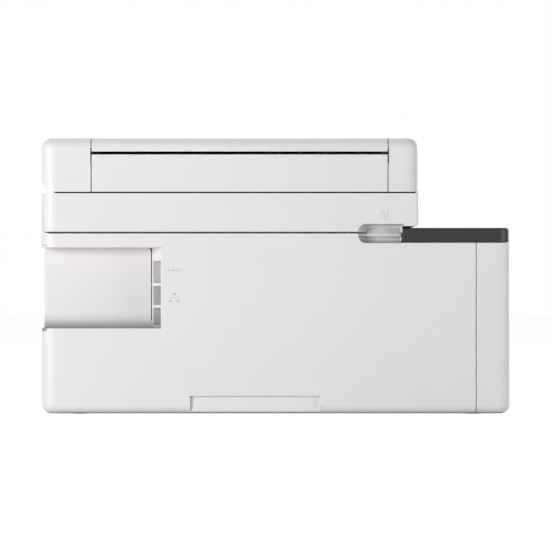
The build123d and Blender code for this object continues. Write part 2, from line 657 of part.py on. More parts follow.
def make_output_stop():
    """Paper stop that lies flat in the tray's notch and stands up at its front."""
    solid = hinged_slab(PAPER_X - 26, PAPER_X + 26, STOP_AXIS_Y, STOP_AXIS_Z, STOP_THICK,
                        STOP_AXIS_Y + STOP_LENGTH)
    solid = fillet(upright_edges(solid).sort_by(Axis.Y)[-2:], 5.0)
    solid += rod_x(PAPER_X - 29.5, PAPER_X + 29.5, STOP_AXIS_Y, STOP_AXIS_Z, 1.2)
    return solid


def panel_axis():
    return -HALF_D + PANEL_THICK / 2, PANEL_TOP - PANEL_THICK / 2


def make_control_panel():
    """Tilting panel, hinged on pins inside its half-round top edge."""
    axis_y, axis_z = panel_axis()
    x0 = PAPER_X - SLOT_HALF + SWING_GAP
    x1 = PAPER_X + SLOT_HALF - SWING_GAP
    solid = block(x0, x1, -HALF_D, -HALF_D + PANEL_THICK, PANEL_BOTTOM, axis_z)
    solid += rod_x(x0, x1, axis_y, axis_z, PANEL_THICK / 2)
    low = solid.edges().filter_by(Axis.X).sort_by(Axis.Z)[:2]
    solid = fillet(low, 3.0)
    solid -= block(x0 + 4, x1 - 4, -HALF_D + 6.5, -HALF_D + PANEL_THICK + 1,
                   PANEL_BOTTOM + 4, axis_z - 8)
    solid -= block(PAPER_X - SCREEN_HALF - FIT, PAPER_X + SCREEN_HALF + FIT, -HALF_D - 1,
                   -HALF_D + 3, PANEL_BOTTOM + 6 - FIT, PANEL_TOP - 12 + FIT)
    for x, radius in BUTTONS.values():
        solid -= rod_y(-HALF_D - 1, -HALF_D + PANEL_THICK + 1, x, BUTTON_Z, radius + 0.15)
    solid += rod_x(x0 - SWING_GAP - 2, x1 + SWING_GAP + 2, axis_y, axis_z, PIN_R)
    return solid


BUTTON_Z = (PANEL_BOTTOM + PANEL_TOP) / 2 - 3.0
BUTTONS = {"power_button": (PAPER_X - 90.0, 6.5)}


def make_button(x, radius):
    """Round push button with a retaining collar behind the panel skin."""
    solid = rod_y(-HALF_D, -HALF_D + 8, x, BUTTON_Z, radius)
    face = solid.edges().filter_by(GeomType.CIRCLE).sort_by(Axis.Y)[0]
    solid = fillet(face, 0.8)
    solid += rod_y(-HALF_D + 8, -HALF_D + 9.5, x, BUTTON_Z, radius + 2)
    return solid


def make_touch_screen():
    """Flat display set flush into the panel."""
    return block(PAPER_X - SCREEN_HALF, PAPER_X + SCREEN_HALF, -HALF_D + 0.4, -HALF_D + 3,
                 PANEL_BOTTOM + 6, PANEL_TOP - 12)


# ------------------------------------------------------------------ print mechanism
def shaft_hole(y, z, radius):
    return rod_x(CHASSIS_X0 - 5, CHASSIS_X1 + 5, y, z, radius + RUNNING)


def make_chassis():
    """Folded sheet-metal frame: two side plates and the beam the carriage rides on."""
    solid = block(CHASSIS_X0, CHASSIS_X1, BEAM_Y, BEAM_Y + SHEET, BEAM_BOTTOM, BEAM_TOP)
    solid += block(CHASSIS_X0, CHASSIS_X1, BEAM_Y, BEAM_Y + 26, BEAM_BOTTOM,
                   BEAM_BOTTOM + SHEET)
    for x0 in (CHASSIS_X0, CHASSIS_X1 - SHEET):
        solid += block(x0, x0 + SHEET, -45, 100, FLOOR_TOP + 6, BEAM_TOP)
    solid -= shaft_hole(FEED_Y, FEED_Z, 3.0)
    solid -= shaft_hole(EJECT_Y, FEED_Z, 2.5)
    solid -= shaft_hole(PICK_Y, PICK_Z, 3.0)
    solid -= shaft_hole(FEED_Y, PINCH_Z, 1.5)
    solid -= shaft_hole((FEED_Y + EJECT_Y) / 2, FEED_Z, 2.0)
    solid -= shaft_hole(PINION_Y, PINION_Z, 2.0)
    for x in (PULLEY_X0, PULLEY_X1):
        solid -= rod_y(BEAM_Y - 1, BEAM_Y + 3, x, BELT_Z, 2.0 + RUNNING)
    return solid


PINCH_Z = FEED_Z + FEED_R + PINCH_R + 0.4
PINION_REACH = (GEAR_R + PINION_R + GEAR_GAP) * 0.7071
PINION_Y = FEED_Y - PINION_REACH
PINION_Z = FEED_Z - PINION_REACH
IDLER_R = (FEED_Y - EJECT_Y) / 2 - GEAR_R - GEAR_GAP
PICK_GEAR_R = hypot(PICK_Y - FEED_Y, FEED_Z - PICK_Z) - GEAR_R - GEAR_GAP
GEAR_X1 = CHASSIS_X0 - 1.0
GEAR_X0 = GEAR_X1 - GEAR_WIDTH
PULLEY_X0 = CHASSIS_X0 + 14.0
PULLEY_X1 = CHASSIS_X1 - 13.5
PRINT_X0 = PAPER_X - PAPER_HALF - 10
PRINT_X1 = PAPER_X + PAPER_HALF + 5


def make_feed_roller():
    """Main feed roller with its shaft and drive gear."""
    solid = rod_x(PRINT_X0, PRINT_X1, FEED_Y, FEED_Z, FEED_R)
    solid += rod_x(GEAR_X0 - 1, CHASSIS_X1 + 2, FEED_Y, FEED_Z, 3.0)
    return solid + gear(GEAR_X0, GEAR_X1, FEED_Y, FEED_Z, GEAR_R, 40)


def make_eject_roller():
    """Output roller: shaft with five rubber rings and its gear."""
    solid = rod_x(GEAR_X0 - 1, CHASSIS_X1 + 2, EJECT_Y, FEED_Z, 2.5)
    for i in range(5):
        x = PAPER_X + (i - 2) * 44
        solid += rod_x(x - 7, x + 7, EJECT_Y, FEED_Z, 5.5)
    return solid + gear(GEAR_X0, GEAR_X1, EJECT_Y, FEED_Z, GEAR_R, 40)


def make_pinch_roller():
    """Idle roller row pressed over the feed roller."""
    solid = rod_x(CHASSIS_X0 - 1, CHASSIS_X1 + 1, FEED_Y, PINCH_Z, 1.5)
    for i in range(6):
        x = PAPER_X + (i - 2.5) * 36
        solid += rod_x(x - 10, x + 10, FEED_Y, PINCH_Z, PINCH_R)
    return solid


def make_pickup_roller():
    """Sheet pick-up roller over the drawer."""
    solid = rod_x(GEAR_X0 - 1, CHASSIS_X1 + 2, PICK_Y, PICK_Z, 3.0)
    for side in (-1, 1):
        x = PAPER_X + side * 18
        solid += rod_x(x - 8, x + 8, PICK_Y, PICK_Z, PICK_R)
    return solid + gear(GEAR_X0, GEAR_X1, PICK_Y, PICK_Z, PICK_GEAR_R, 34)


def make_idler_gear():
    """Gear between the feed and eject rollers, on its own stub."""
    y = (FEED_Y + EJECT_Y) / 2
    solid = gear(GEAR_X0, GEAR_X1, y, FEED_Z, IDLER_R, 40)
    return solid + rod_x(GEAR_X0 - 1, CHASSIS_X0 + 1.2, y, FEED_Z, 2.0)


def make_motor_pinion():
    """Small gear on the feed motor's shaft."""
    solid = gear(GEAR_X0, GEAR_X1, PINION_Y, PINION_Z, PINION_R, 10)
    return solid + rod_x(GEAR_X0 - 1, CHASSIS_X0 + 3, PINION_Y, PINION_Z, 2.0)


def make_feed_motor():
    """Feed motor fixed to the inside of the left plate."""
    start = CHASSIS_X0 + SHEET
    solid = rod_x(start, start + 38, PINION_Y, PINION_Z, 11.5)
    solid += rod_x(start + 38, start + 41, PINION_Y, PINION_Z, 4.0)
    solid -= rod_x(start - 1, start + 3, PINION_Y, PINION_Z, 2.0 + RUNNING)
    return solid


def make_platen():
    """Ribbed platen under the print heads."""
    y0 = EJECT_Y + 9
    y1 = FEED_Y - 10
    top = FEED_Z + 5
    solid = block(CHASSIS_X0 + SHEET, PRINT_X1, y0, y1, top - 5, top - 1)
    for i in range(15):
        x = PRINT_X0 + 4 + i * (PRINT_X1 - PRINT_X0 - 8) / 14
        solid += block(x - 0.75, x + 0.75, y0, y1, top - 1.5, top)
    return solid


def make_carriage():
    """Print-head carriage: open-topped body, beam hook and belt clamp."""
    x0 = CARRIAGE_X - CARRIAGE_HALF
    x1 = CARRIAGE_X + CARRIAGE_HALF
    solid = block(x0, x1, EJECT_Y + 15, BEAM_Y - 14, CARRIAGE_Z, CARRIAGE_Z + 36)
    solid = fillet(upright_edges(solid).sort_by(Axis.Y)[:2], 4.0)
    solid -= block(x0 + 3, x1 - 3, EJECT_Y + 18, BEAM_Y - 17, CARRIAGE_Z + 4, CARRIAGE_Z + 44)
    solid += block(x0, x1, BEAM_Y - 14, BEAM_Y - 0.5, CARRIAGE_Z + 8, BEAM_TOP + 4)
    solid += block(x0 + 8, x1 - 8, BEAM_Y - 3, BEAM_Y + SHEET + 5, BEAM_TOP + 0.5, BEAM_TOP + 4)
    clamp_y = BEAM_Y + SHEET + 3
    belt_top = BELT_Z + PULLEY_R + FIT
    solid += block(CARRIAGE_X - 8, CARRIAGE_X + 8, clamp_y - 1.5, clamp_y, belt_top + 4,
                   BEAM_TOP + 1)
    solid += block(CARRIAGE_X - 8, CARRIAGE_X + 8, clamp_y - 1.5, clamp_y + 9,
                   belt_top + BELT_THICK + 0.6, belt_top + 5)
    for i in range(TANK_COUNT - 1):
        x = x0 + (i + 1) * (x1 - x0) / TANK_COUNT
        solid += block(x - 0.75, x + 0.75, EJECT_Y + 17, BEAM_Y - 16, CARRIAGE_Z + 3,
                       CARRIAGE_Z + 32)
    # Underside notch that clears the pinch roller
    solid -= block(x0 - 1, x1 + 1, FEED_Y - PINCH_R - 2, BEAM_Y, CARRIAGE_Z - 1,
                   PINCH_Z + PINCH_R + 1)
    return solid


def make_print_heads():
    """Two nozzle blocks set into the underside of the carriage."""
    heads = []
    for side in (-1, 1):
        x = CARRIAGE_X + side * 15
        heads.append(block(x - 12, x + 12, 4, 40, CARRIAGE_Z - 6.8, CARRIAGE_Z))
    return Compound(children=heads)


def make_pulley(x, shaft_back):
    """Toothed belt pulley on a Y axis, with a flange each side."""
    y0 = BEAM_Y + SHEET + 3.5
    solid = rod_y(y0, y0 + 7, x, BELT_Z, PULLEY_R - 0.3)
    solid += rod_y(y0 - 1, y0, x, BELT_Z, PULLEY_R - 0.1)
    solid += rod_y(y0 + 7, y0 + 8, x, BELT_Z, PULLEY_R - 0.1)
    solid += rod_y(BEAM_Y - 0.2, shaft_back, x, BELT_Z, 2.0)
    return solid


def make_belt():
    """Closed belt loop round both pulleys."""
    y0 = BEAM_Y + SHEET + 3.7
    width = 6.6
    inner = SlotCenterToCenter(PULLEY_X1 - PULLEY_X0, 2 * (PULLEY_R + FIT))
    outer = SlotCenterToCenter(PULLEY_X1 - PULLEY_X0, 2 * (PULLEY_R + FIT + BELT_THICK))
    loop = Plane.XZ * (outer - inner)
    middle = Pos((PULLEY_X0 + PULLEY_X1) / 2, y0 + width, BELT_Z)
    return middle * extrude(loop, width)


def make_carriage_motor():
    """Carriage motor behind the beam, with a foot on the beam's lower flange."""
    y0 = BEAM_Y + SHEET + 15.5
    solid = rod_y(y0, y0 + 30, PULLEY_X1, BELT_Z, 11.5)
    solid += block(PULLEY_X1 - 10, PULLEY_X1 + 10, y0 - 3, y0, BEAM_BOTTOM + SHEET,
                   BELT_Z + 6)
    solid -= rod_y(y0 - 4, y0 + 6, PULLEY_X1, BELT_Z, 2.0 + RUNNING)
    return solid


def make_service_station():
    """Capping and wiping unit below the parked carriage."""
    x0 = PRINT_X1 + 4
    x1 = CHASSIS_X1 - SHEET
    solid = block(x0, x1, EJECT_Y + 10, FEED_Y - 10, FEED_Z - 26, FEED_Z + 2)
    solid -= block(x0 + 3, x1 - 3, EJECT_Y + 13, FEED_Y - 13, FEED_Z - 22, FEED_Z + 8)
    for side in (-1, 1):
        x = CARRIAGE_X + side * 15
        solid += block(x - 11, x + 11, 5, 39, FEED_Z - 23, FEED_Z + 6)
        solid -= block(x - 8.5, x + 8.5, 7.5, 36.5, FEED_Z + 4, FEED_Z + 13)
    return solid


def make_mainboard():
    """Control board standing inside the back wall, with its larger components."""
    y0 = HALF_D - WALL - 26
    solid = block(-60, 84, y0, y0 + 1.6, 62, 150)
    for x0, z0, w, h, t in ((-45, 80, 30, 30, 3), (0, 100, 18, 22, 2), (35, 75, 26, 14, 8),
                            (-50, 128, 50, 10, 7), (20, 130, 40, 8, 6)):
        solid += block(x0, x0 + w, y0 - t, y0, z0, z0 + h)
    for x in (-52, 76):
        for z in (68, 144):
            solid += rod_y(y0, HALF_D - WALL, x, z, 2.5)
    return solid


def make_power_supply():
    """Enclosed supply on the floor beside the drawer."""
    solid = block(PAPER_X + TRAY_HALF + 8, CHASSIS_X1 - 8, 10, 95, FLOOR_TOP, 50)
    for i in range(6):
        y = 22 + i * 11
        solid -= block(PAPER_X + TRAY_HALF + 16, CHASSIS_X1 - 16, y, y + 4, 48, 51)
    return solid


# ------------------------------------------------------------------ scanner unit
def scanner_outline(inset):
    """Scanner block, its left strip stepped up to pass over the ink deck."""
    solid = block(SCANNER_LEFT + inset, HALF_W - inset, -HALF_D + inset, HALF_D - inset,
                  SCANNER_BOTTOM + inset, SCANNER_TOP)
    solid = fillet(upright_edges(solid).sort_by(Axis.X)[-2:], PLAN_CORNER_R - inset)
    solid -= block(SCANNER_LEFT - 1, DECK_IN_X + inset, -HALF_D - 1, HALF_D + 1,
                   SCANNER_BOTTOM - 1, SCANNER_STEP + inset)
    return solid


def make_scanner_housing():
    """Open-topped scanner tub with hinge ears, bracket slots and half of the scoop."""
    solid = block(SCANNER_LEFT, HALF_W, -HALF_D, HALF_D, SCANNER_BOTTOM, SCANNER_TOP)
    right = upright_edges(solid).sort_by(Axis.X)[-2:]
    solid = fillet(right, PLAN_CORNER_R)
    left = upright_edges(solid).sort_by(Axis.X)[:2]
    solid = fillet(left, 3.0)
    bottom = solid.faces().sort_by(Axis.Z)[0]
    solid = fillet(bottom.edges(), SCANNER_EDGE_R)
    solid -= block(SCANNER_LEFT - 1, DECK_IN_X, -HALF_D - 1, HALF_D + 1, SCANNER_BOTTOM - 1,
                   SCANNER_STEP)
    foot_x, foot_z = SCANNER_LEFT + SCANNER_FOOT_R, SCANNER_STEP + SCANNER_FOOT_R
    solid -= block(SCANNER_LEFT - 1, foot_x, -HALF_D - 1, HALF_D + 1, SCANNER_STEP - 1,
                   foot_z) - rod_y(-HALF_D - 2, HALF_D + 2, foot_x, foot_z, SCANNER_FOOT_R)
    solid -= scanner_outline(WALL) - block(SCOOP_X0 - 3, SCOOP_X1 + 3,
                                           HALF_D - SCOOP_DEPTH - 3, HALF_D, 0, SCOOP_TOP + 3)
    solid -= scoop_space()
    for x in BRACKET_X:
        for side in (-1, 1):
            ear = x + side * (BRACKET_THICK / 2 + FIT + 1.5)
            solid += block(ear - 1.5, ear + 1.5, SCANNER_AXIS_Y - 5, HALF_D - WALL,
                           SCANNER_AXIS_Z - 6, SCANNER_AXIS_Z + 6)
        half = BRACKET_THICK / 2 + FIT + 0.3
        solid -= block(x - half, x + half, SCANNER_AXIS_Y - 21, SCANNER_AXIS_Y - 3.5,
                       SCANNER_BOTTOM - 1, SCANNER_BOTTOM + WALL + 1)
        solid -= rod_x(x - 7, x + 7, SCANNER_AXIS_Y, SCANNER_AXIS_Z, PIN_R)
    return solid


def make_hinge_brackets():
    """Two cranked brackets fixed under the top deck; each carries a scanner hinge eye."""
    brackets = []
    for x in BRACKET_X:
        x0 = x - BRACKET_THICK / 2
        x1 = x + BRACKET_THICK / 2
        leg = SCANNER_AXIS_Y - 20
        points = [(leg, BODY_TOP - WALL - 3), (leg + 6, BODY_TOP - WALL - 3),
                  (leg + 6, SCANNER_AXIS_Z - 12), (SCANNER_AXIS_Y, SCANNER_AXIS_Z - EYE_R),
                  (SCANNER_AXIS_Y, SCANNER_AXIS_Z + EYE_R), (leg + 3, SCANNER_AXIS_Z + EYE_R),
                  (leg, SCANNER_AXIS_Z)]
        arm = profile_x(x0, x1, points)
        arm += rod_x(x0, x1, SCANNER_AXIS_Y, SCANNER_AXIS_Z, EYE_R)
        arm -= rod_x(x0 - 1, x1 + 1, SCANNER_AXIS_Y, SCANNER_AXIS_Z, PIN_R + RUNNING)
        arm += block(x - 9, x + 9, leg - 14, leg + 6, BODY_TOP - WALL - 3, BODY_TOP - WALL)
        brackets.append(arm)
    return Compound(children=brackets)


def make_hinge_pins():
    """Two scanner pins and two lid pins, all fixed to the scanner unit."""
    pins = []
    for x in BRACKET_X:
        pins.append(rod_x(x - 5, x + 5, SCANNER_AXIS_Y, SCANNER_AXIS_Z, PIN_R))
    for seam, side in ((LID_SEAM_X0, 1), (LID_SEAM_X1, -1)):
        inside = seam + side * 7
        outside = seam - side * 4.5
        pins.append(rod_x(min(inside, outside), max(inside, outside), LID_AXIS_Y, LID_AXIS_Z,
                          LID_PIN_R))
    return Compound(children=pins)


def make_top_frame():
    """Scanner bezel with the platen window and the feeder strip window."""
    solid = block(SCANNER_LEFT + WALL + FIT, HALF_W - WALL - FIT, -HALF_D + WALL + FIT,
                  HALF_D - WALL - FIT, SCANNER_TOP - 2.6, SCANNER_TOP)
    right = upright_edges(solid).sort_by(Axis.X)[-2:]
    solid = fillet(right, PLAN_CORNER_R - WALL)
    solid -= block(GLASS_X - GLASS_HALF_X, GLASS_X + GLASS_HALF_X, GLASS_Y0, GLASS_Y1, 0, HEIGHT)
    solid -= block(GLASS_X - GLASS_HALF_X, GLASS_X + GLASS_HALF_X, STRIP_Y0, STRIP_Y1, 0, HEIGHT)
    return solid


def make_scanner_glass():
    """Platen pane and feeder strip, held under the bezel."""
    top = SCANNER_TOP - 2.6
    x0 = GLASS_X - GLASS_HALF_X - 3
    x1 = GLASS_X + GLASS_HALF_X + 3
    panes = [block(x0, x1, GLASS_Y0 - 3, GLASS_Y1 + 3, top - GLASS_THICK, top),
             block(x0, x1, STRIP_Y0 - 3, STRIP_Y1 + 3, top - GLASS_THICK, top)]
    return Compound(children=panes)


RAIL_Z = SCANNER_BOTTOM + 9.5
SCAN_BAR_Y0 = -HALF_D + 14.0


def make_scan_rail():
    """Guide rod along the tub with its two end blocks."""
    solid = rod_y(-HALF_D + WALL, HALF_D - 12, GLASS_X, RAIL_Z, RAIL_R)
    for y0 in (-HALF_D + WALL, HALF_D - 12):
        solid += block(GLASS_X - 6, GLASS_X + 6, y0, y0 + 5, SCANNER_BOTTOM + WALL, RAIL_Z + 5)
    return solid


def make_scan_bar():
    """Image sensor bar on a bearing block that rides the rod."""
    y1 = SCAN_BAR_Y0 + SCAN_BAR_DEPTH
    top = SCANNER_TOP - 2.6 - GLASS_THICK - 1.0
    solid = block(GLASS_X - GLASS_HALF_X - 12, GLASS_X + GLASS_HALF_X + 12, SCAN_BAR_Y0, y1,
                  top - 11, top)
    solid += block(GLASS_X - 14, GLASS_X + 14, SCAN_BAR_Y0, y1, RAIL_Z - RAIL_R - 2, top - 8)
    solid -= rod_y(SCAN_BAR_Y0 - 1, y1 + 1, GLASS_X, RAIL_Z, RAIL_R + RUNNING)
    solid -= block(GLASS_X - GLASS_HALF_X, GLASS_X + GLASS_HALF_X, SCAN_BAR_Y0 + 7, y1 - 7,
                   top - 2, top + 1)
    return solid


def make_hinge_tower():
    """Fixed back panel between the lid seams, with an ear at each end for the lid pins."""
    x0 = LID_SEAM_X0 + LID_SEAM_GAP / 2
    x1 = LID_SEAM_X1 - LID_SEAM_GAP / 2
    solid = block(x0, x1, HALF_D - TOWER_WALL, HALF_D, LID_BOTTOM, TOWER_TOP)
    solid = fillet(solid.edges().filter_by(Axis.X).sort_by(Axis.Y)[-2:], 0.6)
    solid += block(x0, x1, HALF_D - TOWER_EAR, HALF_D - TOWER_WALL + 1, SCANNER_TOP,
                   LID_BOTTOM + 1.5)
    for start in (x0, x1 - 4):
        solid += block(start, start + 4, HALF_D - TOWER_EAR, HALF_D - TOWER_WALL + 1,
                       SCANNER_TOP, LID_AXIS_Z + 9)
    return solid - rod_x(x0 - 1, x1 + 1, LID_AXIS_Y, LID_AXIS_Z, LID_PIN_R)


# ------------------------------------------------------------------ lid and document feeder
def lid_outline(inset, floor_z):
    """Lid block with a rounded top and a swept finger grip along its lower right edge."""
    solid = block(SCANNER_LEFT - 0.2 + inset, HALF_W - inset, -HALF_D + inset, HALF_D - inset,
                  floor_z, HEIGHT - inset)
    corners = upright_edges(solid)
    solid = fillet(corners.sort_by(Axis.X)[-2:], PLAN_CORNER_R - inset)
    solid = fillet(upright_edges(solid).sort_by(Axis.X)[:2], PLAN_CORNER_R - inset)
    solid = fillet(solid.faces().sort_by(Axis.Z)[-1].edges(), LID_TOP_R - inset)
    side = HALF_W - inset
    top, foot = (side, floor_z + LID_GRIP_HEIGHT), (side - LID_GRIP_WIDTH, floor_z)
    swell = (side - LID_GRIP_WIDTH * 0.39, floor_z + LID_GRIP_HEIGHT * 0.33)
    outline = ThreePointArc(top, swell, foot) + Polyline(
        foot, (foot[0], floor_z - 1), (side + 1, floor_z - 1), (side + 1, top[1]), top)
    bevel = Plane.XZ * make_face(outline.edges())
    return solid - Pos(0, HALF_D + 1, 0) * extrude(bevel, DEPTH + 2)


LID = lid_outline(0, LID_BOTTOM)
LID_INSIDE = lid_outline(WALL, LID_BOTTOM + WALL)
SEAM_WALL_X = (LID_SEAM_X0 - LID_SEAM_GAP / 2, LID_SEAM_X1 + LID_SEAM_GAP / 2)


def make_lid_base():
    """Lid moulding: floor, two end blocks, front wall; the middle is open for the feeder."""
    solid = LID - LID_INSIDE
    left, right = SEAM_WALL_X
    for x0 in (left - WALL, right):
        solid += LID & block(x0, x0 + WALL, -HALF_D, HALF_D, LID_BOTTOM, HEIGHT)
    solid -= block(left, right, FEEDER_FRONT, HALF_D + 1, LID_BOTTOM + WALL, HEIGHT + 1)
    solid -= block(left, right, LID_FLOOR_BACK, HALF_D + 1, LID_BOTTOM - 1, HEIGHT + 1)
    solid += LID & block(left, right, FEEDER_FRONT - WALL, FEEDER_FRONT, LID_BOTTOM, HEIGHT)
    solid -= block(GLASS_X - GLASS_HALF_X - 12.2, GLASS_X + GLASS_HALF_X + 8.2, GLASS_Y0 - 5.2,
                   LID_FLOOR_BACK - 1.8, LID_BOTTOM - 1, LID_BOTTOM + 1.0)
    solid -= rod_x(left - 8, right + 8, LID_AXIS_Y, LID_AXIS_Z, LID_PIN_R + RUNNING)
    for y in (COVER_AXIS_Y, FLAP_AXIS_Y):
        solid -= rod_x(left - 8, right + 8, y, FLAP_AXIS_Z, PIN_R + RUNNING)
    for y, z in (ADF_FEED, ADF_PICK):
        solid -= rod_x(left - 8, right + 8, y, z, PIN_R + RUNNING)
    return solid


COVER_AXIS_Y = FEEDER_FRONT + SWING_GAP + HALF_FLAP
FLAP_AXIS_Y = FEEDER_SPLIT + SWING_GAP + HALF_FLAP
ADF_FEED = (FEEDER_FRONT + 20.0, FLAP_BOTTOM - 15.0)
ADF_PICK = (FEEDER_FRONT + 44.0, FLAP_BOTTOM - 14.0)


def feeder_slab(axis_y, far_y):
    """Hinged top panel between the lid seams, hollow below, with stub pins at its front."""
    x0 = SEAM_WALL_X[0] + LID_SEAM_GAP / 2 + 0.1
    x1 = SEAM_WALL_X[1] - LID_SEAM_GAP / 2 - 0.1
    solid = hinged_slab(x0, x1, axis_y, FLAP_AXIS_Z, FLAP_THICK, far_y)
    solid &= LID
    solid -= LID_INSIDE & block(x0 + WALL, x1 - WALL, axis_y + HALF_FLAP + 1, far_y - WALL,
                                FLAP_BOTTOM - 1, HEIGHT - WALL)
    solid += rod_x(SEAM_WALL_X[0] - 2, SEAM_WALL_X[1] + 2, axis_y, FLAP_AXIS_Z, PIN_R)
    return solid


def make_adf_cover():
    """Jam-access cover over the feeder rollers."""
    return feeder_slab(COVER_AXIS_Y, FEEDER_SPLIT)


def make_adf_flap():
    """Long top panel that lifts at the back to become the document input tray."""
    solid = feeder_slab(FLAP_AXIS_Y, HALF_D)
    for i in range(5):
        x = PAPER_X + 22 + (i - 2) * 44
        solid += block(x - 1, x + 1, FLAP_AXIS_Y + 12, HALF_D - 12, HEIGHT - 6, HEIGHT - WALL)
    return solid


def make_adf_bin():
    """Sloping surface under the flap on which scanned sheets collect."""
    x0 = SEAM_WALL_X[0] + FIT
    x1 = SEAM_WALL_X[1] - FIT
    front = FEEDER_SPLIT + 8
    back = LID_FLOOR_BACK - 1
    floor = LID_BOTTOM + WALL
    points = [(front, floor + 13), (back, floor + 4), (back, floor + 6.5), (front, floor + 15.5)]
    solid = profile_x(x0, x1, points)
    for x in (x0, PAPER_X - 40, PAPER_X + 90, x1 - 2):
        solid += profile_x(x, x + 2, [(front, floor), (back, floor), (back, floor + 5),
                                      (front, floor + 14)])
    return solid


def make_lid_pad():
    """White foam pad that presses the original onto the glass."""
    return block(GLASS_X - GLASS_HALF_X - 12, GLASS_X + GLASS_HALF_X + 8, GLASS_Y0 - 5,
                 LID_FLOOR_BACK - 2, SCANNER_TOP + 0.3, LID_BOTTOM + 1.0)


def make_adf_roller(place, radius, count):
    """Feeder shaft running between the seam walls, with rubber sleeves."""
    y, z = place
    solid = rod_x(SEAM_WALL_X[0] - 2, SEAM_WALL_X[1] + 2, y, z, PIN_R)
    for i in range(count):
        x = PAPER_X + 22 + (i - (count - 1) / 2) * 40
        solid += rod_x(x - 12, x + 12, y, z, radius)
    return solid


# ------------------------------------------------------------------ all pieces
PIECES = {
    "base_tray": make_base_tray(),
    "rubber_feet": make_feet(),
    "rear_and_side_shell": make_shell(),
    "ink_side_cover": make_side_cover(),
    "upper_frame": make_upper_frame(),
    "deck_screws": make_screws(),
    "port_bay_panel": make_bay_panel(),
    "usb_socket": make_usb_socket(),
    "ethernet_socket": make_ethernet_socket(),
    "power_inlet": make_power_inlet(),
    "ink_deck": make_ink_deck(),
    "ink_tanks": make_ink_tanks(),
    "ink_level_window": make_ink_window(),
    "ink_lid": make_ink_lid(),
    "input_tray": make_input_tray(),
    "width_guide_left": make_width_guide(-1),
    "width_guide_right": make_width_guide(1),
    "output_tray": make_output_tray(),
    "output_extension": make_output_extension(),
    "output_stop": make_output_stop(),
    "control_panel": make_control_panel(),
    "touch_screen": make_touch_screen(),
    "carriage_chassis": make_chassis(),
    "platen": make_platen(),
    "service_station": make_service_station(),
    "mainboard": make_mainboard(),
    "power_supply": make_power_supply(),
    "print_carriage": make_carriage(),
    "print_heads": make_print_heads(),
    "carriage_motor": make_carriage_motor(),
    "carriage_belt": make_belt(),
    "drive_pulley": make_pulley(PULLEY_X1, BEAM_Y + SHEET + 18),
    "idler_pulley": make_pulley(PULLEY_X0, BEAM_Y + SHEET + 12),
    "feed_motor": make_feed_motor(),
    "motor_pinion": make_motor_pinion(),
    "idler_gear": make_idler_gear(),
    "feed_roller": make_feed_roller(),
    "pinch_roller": make_pinch_roller(),
    "eject_roller": make_eject_roller(),
    "pickup_roller": make_pickup_roller(),
    "hinge_brackets": make_hinge_brackets(),
    "hinge_pins": make_hinge_pins(),
    "scanner_housing": make_scanner_housing(),
    "scanner_top_frame": make_top_frame(),
    "scanner_glass": make_scanner_glass(),
    "scan_rail": make_scan_rail(),
    "scan_bar": make_scan_bar(),
    "hinge_tower": make_hinge_tower(),
    "lid_base": make_lid_base(),
    "lid_pad": make_lid_pad(),
    "adf_bin": make_adf_bin(),
    "adf_cover": make_adf_cover(),
    "adf_flap": make_adf_flap(),
    "adf_feed_roller": make_adf_roller(ADF_FEED, 9.0, 4),
    "adf_pickup_roller": make_adf_roller(ADF_PICK, 8.0, 2),
}
for name, (x, radius) in BUTTONS.items():
    PIECES[name] = make_button(x, radius)
for i, colour in enumerate(("black", "cyan", "magenta", "yellow")):
    PIECES["ink_cap_" + colour] = make_cap(i)

for name, piece in PIECES.items():
    export_step(piece, "parts/" + name + ".step")
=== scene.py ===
"""Finishes, small fittings and studio for the ink-tank office printer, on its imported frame."""

import json
import math

import bmesh
import bpy
from bpy.props import FloatProperty, FloatVectorProperty, PointerProperty
from mathutils import Matrix, Vector


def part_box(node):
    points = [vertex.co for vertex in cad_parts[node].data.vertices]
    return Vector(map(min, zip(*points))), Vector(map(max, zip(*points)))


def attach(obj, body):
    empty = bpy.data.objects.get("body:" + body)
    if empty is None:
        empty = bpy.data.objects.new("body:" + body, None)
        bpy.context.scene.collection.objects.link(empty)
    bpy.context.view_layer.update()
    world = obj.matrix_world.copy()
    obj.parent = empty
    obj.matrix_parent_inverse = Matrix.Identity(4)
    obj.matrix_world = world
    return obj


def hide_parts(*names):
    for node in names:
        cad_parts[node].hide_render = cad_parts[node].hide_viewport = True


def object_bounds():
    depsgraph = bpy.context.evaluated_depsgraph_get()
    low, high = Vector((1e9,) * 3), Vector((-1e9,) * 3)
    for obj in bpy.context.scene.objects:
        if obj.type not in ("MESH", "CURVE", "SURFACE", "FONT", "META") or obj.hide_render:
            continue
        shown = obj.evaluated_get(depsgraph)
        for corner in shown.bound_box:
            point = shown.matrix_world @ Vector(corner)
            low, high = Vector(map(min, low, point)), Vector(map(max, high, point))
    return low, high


bl_info = {
    "name": "Office Printer Finishes",
    "version": (1, 0, 0),
    "blender": (4, 5, 0),
    "location": "View3D > Sidebar > Printer",
    "description": "Finishes and small fittings of an ink-tank office printer",
    "category": "Object",
}

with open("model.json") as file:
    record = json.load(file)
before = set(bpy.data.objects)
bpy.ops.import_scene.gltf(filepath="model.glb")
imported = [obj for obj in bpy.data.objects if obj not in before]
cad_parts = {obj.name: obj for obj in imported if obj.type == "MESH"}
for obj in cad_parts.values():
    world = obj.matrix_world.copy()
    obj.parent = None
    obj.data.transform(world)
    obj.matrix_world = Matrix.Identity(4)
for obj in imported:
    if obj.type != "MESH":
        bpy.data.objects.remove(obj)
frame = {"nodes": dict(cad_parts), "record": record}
NODES = frame["nodes"]
RECORD = frame["record"]
CAD_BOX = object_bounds()
INK_NAMES = ("black", "cyan", "magenta", "yellow")
SMOOTH_BELOW = 35.0  # edges that turn by fewer degrees are shaded smooth

